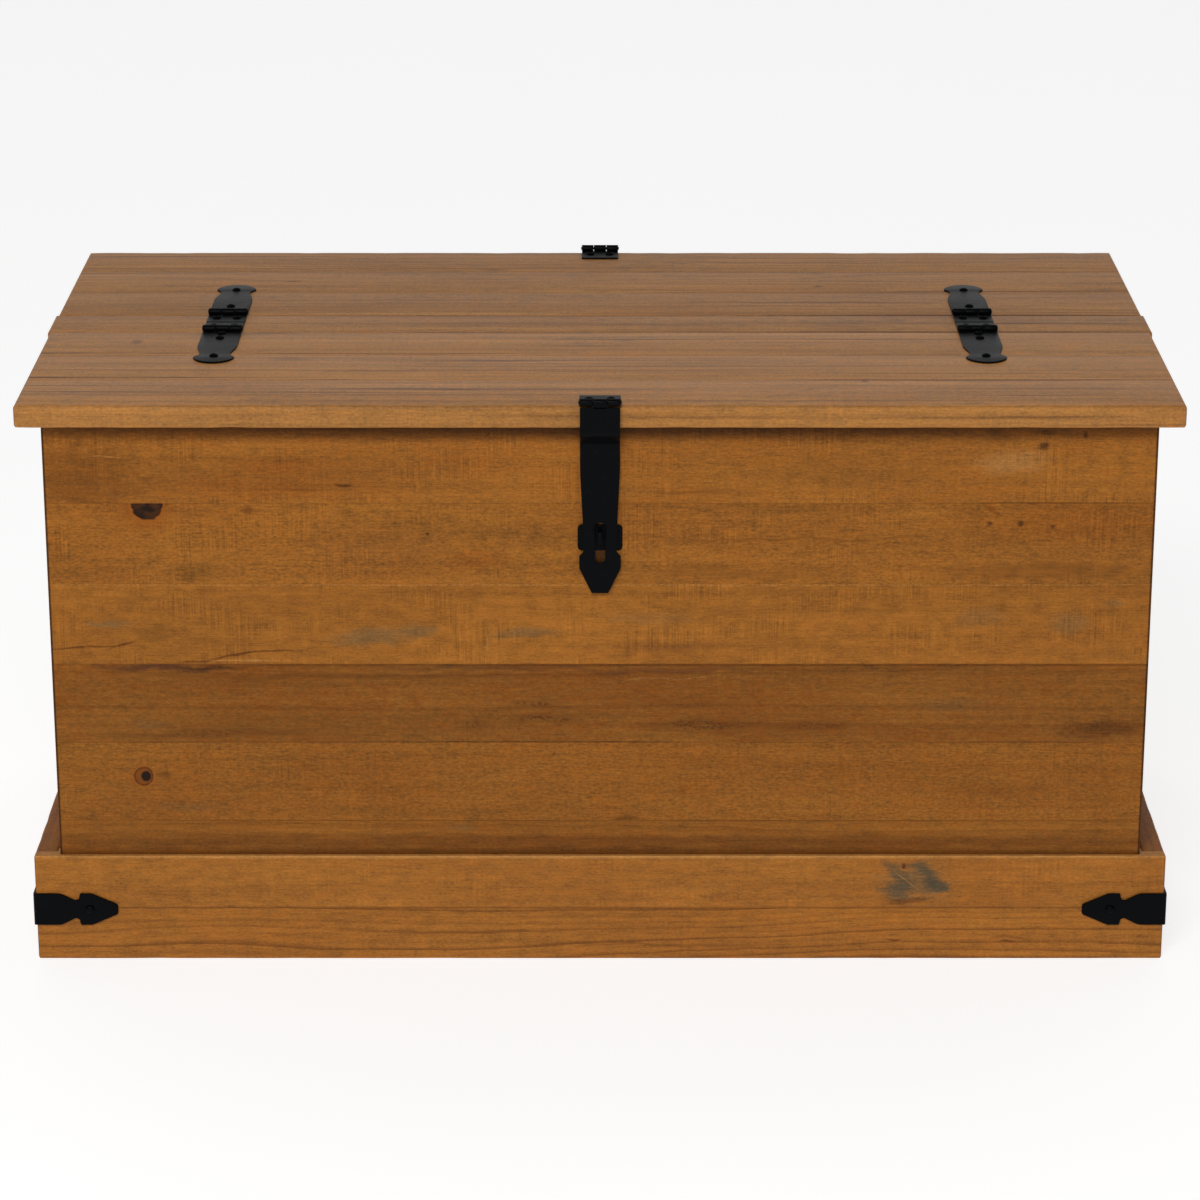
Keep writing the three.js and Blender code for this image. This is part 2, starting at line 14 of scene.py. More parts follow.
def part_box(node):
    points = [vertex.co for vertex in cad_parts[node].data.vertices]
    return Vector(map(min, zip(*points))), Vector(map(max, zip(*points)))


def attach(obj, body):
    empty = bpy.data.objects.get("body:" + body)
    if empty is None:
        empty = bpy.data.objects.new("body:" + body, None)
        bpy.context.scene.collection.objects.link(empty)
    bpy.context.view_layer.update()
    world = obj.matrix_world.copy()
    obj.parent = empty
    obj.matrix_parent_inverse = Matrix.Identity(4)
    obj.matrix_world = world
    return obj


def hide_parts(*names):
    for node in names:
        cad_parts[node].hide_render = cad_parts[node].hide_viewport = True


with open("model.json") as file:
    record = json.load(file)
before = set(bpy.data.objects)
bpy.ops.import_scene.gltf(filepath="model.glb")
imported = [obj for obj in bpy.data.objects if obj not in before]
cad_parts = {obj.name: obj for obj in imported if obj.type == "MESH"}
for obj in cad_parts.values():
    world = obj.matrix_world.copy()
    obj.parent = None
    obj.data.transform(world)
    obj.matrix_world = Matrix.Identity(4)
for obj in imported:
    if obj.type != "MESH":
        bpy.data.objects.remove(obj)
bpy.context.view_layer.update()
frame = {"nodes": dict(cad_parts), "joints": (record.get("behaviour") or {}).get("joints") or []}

MM = 0.001
JOINTS = {joint["name"]: joint for joint in frame["joints"]}
SIDES = {"front": -1, "rear": 1}
ENDS = {"left": -1, "right": 1}

# ---------------------------------------------------------------- colours


def srgb(red, green, blue):
    """A colour given as 0-255 screen values, as the linear colour that shaders use."""
    linear = []
    for value in (red, green, blue):
        value /= 255
        linear.append(value / 12.92 if value <= 0.04045 else ((value + 0.055) / 1.055) ** 2.4)
    return (*linear, 1.0)


HONEY = srgb(147, 91, 32)
AMBER = srgb(160, 101, 36)
OLIVE = srgb(125, 79, 26)
RUSSET = srgb(134, 74, 18)
UMBER = srgb(83, 42, 6)
GREY = srgb(118, 86, 48)
LILAC = srgb(92, 54, 30)
# A soot-dark brown for dark specks and dashes, and also for painted shade and painted shadow.
SOOT_AND_SHADE = srgb(50, 27, 7)
PALE = srgb(180, 126, 66)
SAWN = srgb(176, 134, 82)
KNOT_HEART = srgb(68, 37, 13)
KNOT_DARK = srgb(34, 20, 8)
KNOT_RIM = srgb(150, 82, 22)
KNOT_PIT = srgb(34, 19, 8)
SLATE = srgb(74, 66, 48)
RUST = srgb(84, 34, 12)
EARTH = srgb(112, 64, 16)

# ---------------------------------------------------------------- shader helper


class Value:
    """A number that a node gives out. Sums, differences and products of values are nodes as well."""

    def __init__(self, tree, socket):
        self.tree = tree
        self.socket = socket

    def __add__(self, other):
        return self.tree.math("ADD", self, other)

    def __radd__(self, other):
        return self.tree.math("ADD", other, self)

    def __sub__(self, other):
        return self.tree.math("SUBTRACT", self, other)

    def __rsub__(self, other):
        return self.tree.math("SUBTRACT", other, self)

    def __mul__(self, other):
        return self.tree.math("MULTIPLY", self, other)


class Tree:
    """A material's node tree, with short calls for the nodes that the finishes use."""

    def __init__(self, name):
        self.material = bpy.data.materials.new(name)
        self.fill(self.material, "ShaderNodeOutputMaterial", "ShaderNodeBsdfPrincipled")

    def fill(self, owner, output, shader):
        """Starts the owner's tree with a shader that runs into its output."""
        owner.use_nodes = True
        self.nodes = owner.node_tree.nodes
        self.links = owner.node_tree.links
        self.nodes.clear()
        self.shader = self.nodes.new(shader)
        self.links.new(self.shader.outputs[0], self.nodes.new(output).inputs["Surface"])

    def put(self, value, socket):
        """Sets a socket to a number, a colour or what another node gives out."""
        if isinstance(value, Value):
            value = value.socket
        if isinstance(value, bpy.types.NodeSocket):
            self.links.new(value, socket)
        else:
            socket.default_value = value

    def math(self, operation, a, b=0.0):
        node = self.nodes.new("ShaderNodeMath")
        node.operation = operation
        for value, socket in zip((a, b), node.inputs):
            self.put(value, socket)
        return Value(self, node.outputs[0])

    def vector(self, operation, a, b=(0.0, 0.0, 0.0)):
        node = self.nodes.new("ShaderNodeVectorMath")
        node.operation = operation
        self.put(a, node.inputs[0])
        self.put(b, node.inputs[1])
        return node.outputs[0]

    def combine(self, x, y, z):
        node = self.nodes.new("ShaderNodeCombineXYZ")
        for value, socket in zip((x, y, z), node.inputs):
            self.put(value, socket)
        return node.outputs[0]

    def separate(self, vector):
        node = self.nodes.new("ShaderNodeSeparateXYZ")
        self.put(vector, node.inputs[0])
        return [Value(self, part) for part in node.outputs]

    def ramp(self, value, low, high, out_low=0.0, out_high=1.0):
        """Smooth step of value from low to high, given out as out_low to out_high."""
        node = self.nodes.new("ShaderNodeMapRange")
        node.interpolation_type = "SMOOTHSTEP"
        for given, socket in zip((value, low, high, out_low, out_high), node.inputs):
            self.put(given, socket)
        return Value(self, node.outputs[0])

    def noise(self, vector, stretch, detail=2.0, roughness=0.5):
        """Noise of the vector after it is stretched, about 0 to 1."""
        node = self.nodes.new("ShaderNodeTexNoise")
        self.put(self.vector("MULTIPLY", vector, stretch), node.inputs["Vector"])
        node.inputs["Scale"].default_value = 1.0
        node.inputs["Detail"].default_value = detail
        node.inputs["Roughness"].default_value = roughness
        return Value(self, node.outputs["Fac"])

    def random(self, value):
        node = self.nodes.new("ShaderNodeTexWhiteNoise")
        node.noise_dimensions = "1D"
        self.put(value, node.inputs["W"])
        return Value(self, node.outputs["Value"])

    def mix(self, factor, a, b):
        node = self.nodes.new("ShaderNodeMix")
        node.data_type = "RGBA"
        self.put(factor, node.inputs[0])
        self.put(a, node.inputs[6])
        self.put(b, node.inputs[7])
        return node.outputs[2]

    def shade(self, colour, factor):
        """A colour made lighter or darker by a factor."""
        node = self.nodes.new("ShaderNodeVectorMath")
        node.operation = "SCALE"
        self.put(colour, node.inputs[0])
        self.put(factor, node.inputs["Scale"])
        return node.outputs[0]

    def coordinates(self, kind="Object"):
        return self.nodes.new("ShaderNodeTexCoord").outputs[kind]

    def bump(self, height, strength, distance):
        node = self.nodes.new("ShaderNodeBump")
        node.inputs["Strength"].default_value = strength
        node.inputs["Distance"].default_value = distance
        self.put(height, node.inputs["Height"])
        self.links.new(node.outputs[0], self.shader.inputs["Normal"])


class Sky(Tree):
    """The node tree of the world around the chest."""

    def __init__(self, name):
        self.world = bpy.data.worlds.new(name)
        self.fill(self.world, "ShaderNodeOutputWorld", "ShaderNodeBackground")


# ---------------------------------------------------------------- pine

# How far the noises stretch, in cycles per metre along the grain, across it and into the board.
CLOUD = (6.0, 17.0, 17.0)
MOTTLE = (70.0, 120.0, 120.0)
STREAK = (3.0, 140.0, 140.0)
WOOL = (330.0, 620.0, 620.0)
FIBRE = (60.0, 900.0, 900.0)
SAW = (620.0, 14.0, 14.0)
SAW_PATCH = (16.0, 34.0, 34.0)
DASH = (75.0, 620.0, 620.0)
LINE = (1.6, 150.0, 150.0)
FRAY = (90.0, 300.0, 300.0)
WAVE = (28.0, 40.0, 40.0)
SWAY = (1.6, 8.0, 8.0)
RIPPLE = (12.0, 70.0, 70.0)

# How far a second set of noises is moved from the first.
ELSEWHERE = (3.1, 1.7, 5.3)

# The axes along the grain, across the face and into the board. "top" is a board that lies flat.
GRAIN_ORDER = {"x": (0, 2, 1), "y": (1, 2, 0), "z": (2, 0, 1), "top": (0, 1, 2)}


@dataclass
class Pine:
    """One board's wood: how its grain runs, how it took the stain, and its knots and marks."""

    grain: str = "x"
    seed: int = 0
    tone: float = 1.0
    rings: float = 0.2
    spacing: float = 4.6
    saw: float = 0.5
    olive: float = 0.5
    red: float = 0.4
    lines: float = 0.0
    streaks: float = 0.52
    speckle: float = 1.0
    base: tuple = HONEY
    light: tuple = AMBER
    knots: tuple = ()
    marks: tuple = ()
    pith: tuple = None
    rough: float = 0.55
    gloss: float = 0.11


class Mark:
    """A stain, smudge, scratch, painted shade or painted highlight: an ellipse with frayed edges, its middle,
    half length and half width in millimetres along and across the grain.

    broken = 0 is an even stain and 1 leaves only short dashes of it; wave lets it bend with the grain."""

    def __init__(self, along, across, length, width, tint, amount=0.6, angle=0.0, broken=0.0, fray=1.2,
                 wave=True):
        self.place = (along * MM, across * MM)
        self.size = (length * MM, width * MM)
        self.tint = tint
        self.amount = amount
        self.angle = angle
        self.broken = broken
        self.fray = fray
        self.wave = wave


def straight(*place_and_look, **edge):
    """A mark that runs straight along the grain."""
    return Mark(*place_and_look, wave=False, **edge)


@dataclass
class Knot:
    """A knot: its half width and half height, cut off flat above or below where a seam runs.

    hole moves a dark pit sideways from its middle, halo stains the wood around it, and heart and
    edge say how dark its middle and its outline are."""

    place: tuple
    size: tuple
    hole: float = 0.0
    halo: float = 0.5
    heart: float = 1.0
    edge: float = 0.85


def grain_space(tree, wood):
    """(along the grain, across the face, into the board) of a point, in metres."""
    parts = tree.separate(tree.coordinates())
    return tuple(parts[i] for i in GRAIN_ORDER[wood.grain])


def reach(tree, along, across, place, size, angle=0.0):
    """Distance from a place, 1 at the edge of an ellipse of that size and tilt."""
    du = along - place[0]
    dv = across - place[1]
    cos, sin = math.cos(angle), math.sin(angle)
    u = du * (cos / size[0]) + dv * (sin / size[0])
    v = du * (-sin / size[1]) + dv * (cos / size[1])
    return tree.math("SQRT", u * u + v * v)


def growth_rings(tree, wood, across, depth, shifted, knots):
    """Dark latewood lines, 0 to 1: circles round a pith line that wanders along the board."""
    rng = random.Random(wood.seed * 7 + 3)
    pith_v, pith_w = wood.pith or (rng.uniform(-0.05, 0.05), rng.uniform(0.03, 0.09))
    sway = (tree.noise(shifted, SWAY, 2.0) - 0.5) * 0.045
    ripple = (tree.noise(shifted, RIPPLE, 3.0) - 0.5) * 0.0035
    v = across - pith_v + sway
    w = depth + pith_w + sway * 0.6
    radius = tree.math("SQRT", v * v + w * w) + ripple
    for distance, size in knots:
        swirl = tree.math("EXPONENT", distance * distance * -0.35)
        radius = radius + swirl * (0.9 * size)
    count = tree.math("DIVIDE", radius, wood.spacing * MM)
    phase = tree.math("FRACT", count)
    strength = tree.ramp(tree.random(tree.math("FLOOR", count)), 0.0, 1.0, 0.2, 1.0)
    late = tree.ramp(phase, 0.35, 0.93) * tree.ramp(phase, 0.94, 1.0, 1.0, 0.0)
    return late * strength


def pine_colour(tree, wood, late, layers):
    """The stained wood's colour before its fine grain, knots and marks."""
    cloud, second, mottle = layers["cloud"], layers["second"], layers["mottle"]
    patch = cloud * 0.62 + mottle * 0.38
    colour = tree.mix(tree.ramp(patch, 0.36, 0.64), wood.base, wood.light)
    olive = tree.ramp(second - mottle * 0.35, 0.20, 0.62)
    colour = tree.mix(olive * wood.olive, colour, OLIVE)
    red = tree.ramp(second * -0.7 + mottle, 0.02, 0.34)
    colour = tree.mix(red * wood.red, colour, RUSSET)
    colour = tree.mix(late * wood.rings, colour, UMBER)
    dashes = tree.ramp(layers["dash"], 0.62, 0.74)
    colour = tree.mix(dashes * (0.24 * wood.speckle), colour, UMBER)
    if wood.lines:
        lines = tree.ramp(layers["line"], 0.60, 0.70) * tree.ramp(cloud, 0.35, 0.6, 0.35, 1.0)
        colour = tree.mix(lines * wood.lines, colour, UMBER)
    return colour


def pine_light(wood, layers):
    """How much lighter or darker the fine grain makes the stain."""
    light = 1.0 + (layers["streak"] - 0.5) * wood.streaks
    light += (layers["fibre"] - 0.5) * 0.62
    light += (layers["wool"] - 0.5) * (1.2 * wood.speckle)
    light += (layers["mottle"] - 0.5) * 0.60
    light += layers["sawn"] * wood.saw
    return light * wood.tone


def pine_height(tree, wood, layers):
    """How high the fine grain stands, for the bump."""
    height = layers["fibre"] * 0.5 + layers["wool"] * 0.35
    height += layers["sawn"] * (0.9 * wood.saw)
    return height - tree.ramp(layers["dash"], 0.61, 0.72) * 0.5


def marked(tree, colour, mark, layers):
    """A colour with a mark over it."""
    across = layers["waving" if mark.wave else "across"]
    distance = reach(tree, layers["along"], across, mark.place, mark.size, mark.angle)
    distance += layers["fray"] * mark.fray
    cover = tree.ramp(distance, 0.25, 1.15, 1.0, 0.0) * mark.amount
    if mark.broken:
        cover *= tree.ramp(layers["wool"], 0.47, 0.56, 1.0 - mark.broken, 1.0)
    return tree.mix(cover, colour, mark.tint)


def knotted(tree, colour, height, knot, distance, layers):
    """A colour and a height with a knot in them: stained halo, rim, heart, outline and pit."""
    heart = tree.mix(tree.ramp(layers["mottle"], 0.38, 0.58), KNOT_HEART, KNOT_DARK)
    colour = tree.mix(tree.ramp(distance, 1.1, 2.4, knot.halo, 0.0), colour, RUSSET)
    colour = tree.mix(tree.ramp(distance, 1.02, 1.28, 0.85, 0.0), colour, KNOT_RIM)
    colour = tree.mix(tree.ramp(distance, 0.92, 1.06, knot.heart, 0.0), colour, heart)
    ring = tree.ramp(distance, 0.74, 0.94) * tree.ramp(distance, 0.96, 1.08, 1.0, 0.0)
    colour = tree.mix(ring * knot.edge, colour, KNOT_DARK)
    if knot.hole:
        place = (knot.place[0] + knot.hole, knot.place[1])
        size = (knot.size[0] * 0.58, knot.size[1] * 0.62)
        inner = reach(tree, layers["along"], layers["across"], place, size)
        pit = tree.ramp(inner + layers["fray"] * 0.5, 0.7, 1.05, 1.0, 0.0)
        colour = tree.mix(pit, colour, KNOT_PIT)
        height -= pit * 2.0
    return colour, height - tree.ramp(distance, 0.6, 1.0, 0.8, 0.0)


def pine(name, wood):
    """Waxed, stained pine. It is one solid pattern, so faces, edges and end grain agree."""
    tree = Tree(name)
    rng = random.Random(wood.seed)
    along, across, depth = grain_space(tree, wood)
    plain = tree.combine(along, across, depth)
    shifted = tree.vector("ADD", plain, tuple(rng.uniform(-9, 9) for _ in range(3)))
    elsewhere = tree.vector("ADD", shifted, ELSEWHERE)
    saw = tree.noise(shifted, SAW, 3.0, 0.75) - 0.5
    sawn_patch = tree.ramp(tree.noise(elsewhere, SAW_PATCH, 3.0), 0.48, 0.64, 0.10, 1.0)
    layers = {
        "cloud": tree.noise(shifted, CLOUD, 5.0, 0.55),
        "second": tree.noise(elsewhere, CLOUD, 5.0, 0.6),
        "mottle": tree.noise(shifted, MOTTLE, 4.0, 0.6),
        "streak": tree.noise(shifted, STREAK, 4.0, 0.6),
        "fibre": tree.noise(shifted, FIBRE, 2.0, 0.6),
        "wool": tree.noise(shifted, WOOL, 3.0, 0.65),
        "dash": tree.noise(elsewhere, DASH, 3.0, 0.6),
        "line": tree.noise(elsewhere, LINE, 3.0, 0.55),
        "sawn": saw * 1.7 * sawn_patch,
        "fray": tree.noise(shifted, FRAY, 4.0, 0.7) - 0.5,
        "waving": across + (tree.noise(shifted, WAVE, 3.0) - 0.5) * 0.012,
        "across": across,
        "along": along,
    }
    distances = [reach(tree, along, across, knot.place, knot.size) + layers["fray"] * 0.35
                 for knot in wood.knots]
    swirls = [(distance, knot.size[1]) for distance, knot in zip(distances, wood.knots)]
    late = growth_rings(tree, wood, across, depth, shifted, swirls)
    colour = pine_colour(tree, wood, late, layers)
    for mark in wood.marks:
        colour = marked(tree, colour, mark, layers)
    colour = tree.shade(colour, pine_light(wood, layers))
    height = pine_height(tree, wood, layers)
    for knot, distance in zip(wood.knots, distances):
        colour, height = knotted(tree, colour, height, knot, distance, layers)
    end = tree.separate(tree.coordinates("Normal"))[GRAIN_ORDER[wood.grain][0]]
    end_grain = tree.ramp(tree.math("ABSOLUTE", end), 0.55, 0.95)
    tree.put(tree.mix(end_grain * 0.45, colour, UMBER), tree.shader.inputs["Base Color"])
    gloss = wood.rough - 0.12 + layers["fibre"] * 0.14
    tree.put(gloss + layers["mottle"] * 0.10, tree.shader.inputs["Roughness"])
    tree.shader.inputs["Specular IOR Level"].default_value = wood.gloss
    tree.bump(height, 0.5, 0.45 * MM)
    return tree.material


# ---------------------------------------------------------------- ironwork paint

# Cycles per metre of the paint's hammer marks, grit and rubbed patches.
HAMMER = (210.0, 210.0, 210.0)
GRIT = (2600.0, 2600.0, 2600.0)
RUB = (90.0, 90.0, 90.0)


def black_iron(name, dark=1.0, gloss=0.045, rough=0.30):
    """Satin black paint over lightly hammered sheet, rubbed a little grey here and there."""
    tree = Tree(name)
    place = tree.coordinates()
    hammer = tree.noise(place, HAMMER, 2.0, 0.5)
    grit = tree.noise(place, GRIT, 3.0, 0.7)
    rub = tree.ramp(tree.noise(place, RUB, 4.0, 0.7), 0.55, 0.80)
    colour = tree.mix(rub * 0.6, srgb(6, 7, 9), srgb(15, 17, 21))
    tree.put(tree.shade(colour, dark), tree.shader.inputs["Base Color"])
    tree.put(rough + grit * 0.20, tree.shader.inputs["Roughness"])
    tree.shader.inputs["Specular IOR Level"].default_value = gloss
    tree.bump(hammer + grit * 0.10, 0.35, 0.6 * MM)
    return tree.material


IRON = black_iron("black_iron")
# The screw heads get a darker, duller copy of the paint: painted shade for the dark reflection that their
# domes show.
SCREW_IRON_SHADED = black_iron("black_screw", dark=0.7, gloss=0.02, rough=0.42)

# ---------------------------------------------------------------- placing pieces

SHARP_ANGLE = math.radians(38)
WELD = 1e-6


def linked(name, data):
    """A new object of some data, put into the scene."""
    thing = bpy.data.objects.new(name, data)
    bpy.context.scene.collection.objects.link(thing)
    return thing


def evaluated(thing):
    """A new mesh of an object as its modifiers or its curve settings leave it."""
    bpy.context.view_layer.update()
    return bpy.data.meshes.new_from_object(thing.evaluated_get(bpy.context.evaluated_depsgraph_get()))


def outer_y(node, side):
    """The y of a CAD node's face on one side of the chest."""
    low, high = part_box(node)
    return high.y if side > 0 else low.y


def settle(name, mesh, material, body, nodes=()):
    """Makes a piece of a mesh: shaded, named, riding on its body and standing for its CAD nodes."""
    mesh.name = name
    piece = linked(name, mesh)
    mesh.materials.clear()
    mesh.materials.append(material)
    mesh.shade_smooth()
    mesh.set_sharp_from_angle(angle=SHARP_ANGLE)
    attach(piece, body)
    if nodes:
        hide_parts(*nodes)
    return piece


def mesh_of(geometry):
    """A bmesh, closed up and with its faces turned outwards, as a mesh."""
    bmesh.ops.remove_doubles(geometry, verts=geometry.verts, dist=WELD)
    bmesh.ops.recalc_face_normals(geometry, faces=geometry.faces)
    mesh = bpy.data.meshes.new("mesh")
    geometry.to_mesh(mesh)
    geometry.free()
    return mesh


# ---------------------------------------------------------------- boards

ARC_STEPS = 4
STATION = 14 * MM
EASED = 0.15 * MM
WEAR = 0.22
CORNERS = ((1, 1), (-1, 1), (-1, -1), (1, -1))


def section(half_b, half_c, radii, inset):
    """Outline of a board's cross-section, every corner rounded by its own radius."""
    points = []
    for quarter, ((sign_b, sign_c), radius) in enumerate(zip(CORNERS, radii)):
        radius = max(radius - inset, 0.05 * MM)
        centre_b = sign_b * (half_b - inset - radius)
        centre_c = sign_c * (half_c - inset - radius)
        for step in range(ARC_STEPS + 1):
            angle = math.pi / 2 * (quarter + step / ARC_STEPS)
            points.append((centre_b + radius * math.cos(angle), centre_c + radius * math.sin(angle)))
    return points


def stations(low, high, end_radius):
    """(place along the board, inset there): rounded in at both ends, even steps between."""
    near = set()
    for step in range(4):
        along = end_radius * math.sin(math.pi / 2 * step / 3)
        inset = end_radius - math.sqrt(max(0, 2 * end_radius * along - along * along))
        near.add((round(along, 7), round(inset, 7)))
    near = sorted(near)
    count = max(2, round((high - low) / STATION))
    middle = [(low + (high - low) * i / count, 0.0) for i in range(1, count)]
    return [(low + a, b) for a, b in near] + middle + [(high - a, b) for a, b in reversed(near)]


def board(name, low, high, axis, wood, body, radii=(EASED,) * 4, end_radius=EASED, nodes=()):
    """A board between two corners, its long edges rounded and slightly worn by hand.

    radii are for the corners (+b, +c), (-b, +c), (-b, -c), (+b, -c), with b and c the two axes
    after the grain's axis in the order x, y, z, x, y."""
    a, b, c = axis, (axis + 1) % 3, (axis + 2) % 3
    middle_b, middle_c = (low[b] + high[b]) / 2, (low[c] + high[c]) / 2
    half_b, half_c = (high[b] - low[b]) / 2, (high[c] - low[c]) / 2
    geometry = bmesh.new()
    rings = []
    seed = Vector((wood.seed * 1.37, 4.1, 9.7))
    for place, inset in stations(low[a], high[a], end_radius):
        ring = []
        for index, (pb, pc) in enumerate(section(half_b, half_c, radii, inset)):
            radius = radii[index // (ARC_STEPS + 1)]
            point = Vector((0, 0, 0))
            point[a], point[b], point[c] = place, middle_b + pb, middle_c + pc
            worn = noise.noise(point * 55 + seed) + 0.6 * noise.noise(point * 190 + seed)
            bite = max(0.0, worn) * min(radius, 2 * MM) * WEAR
            towards = Vector((0, 0, 0))
            towards[b] = -math.copysign(1, pb)
            towards[c] = -math.copysign(1, pc)
            ring.append(geometry.verts.new(point + towards * bite))
        rings.append(ring)
    for one, two in zip(rings, rings[1:]):
        for i in range(len(one)):
            j = (i + 1) % len(one)
            geometry.faces.new((one[i], one[j], two[j], two[i]))
    geometry.faces.new(rings[0])
    geometry.faces.new(rings[-1])
    return settle(name, mesh_of(geometry), pine(name, wood), body, nodes)


# ---------------------------------------------------------------- the box's panels

STAVE = 66.5 * MM
SEAM_SHUT = 0.05 * MM
# Width of the painted shade down the panels' end edges.
EDGE_SHADE_WIDTH = 1.2 * MM
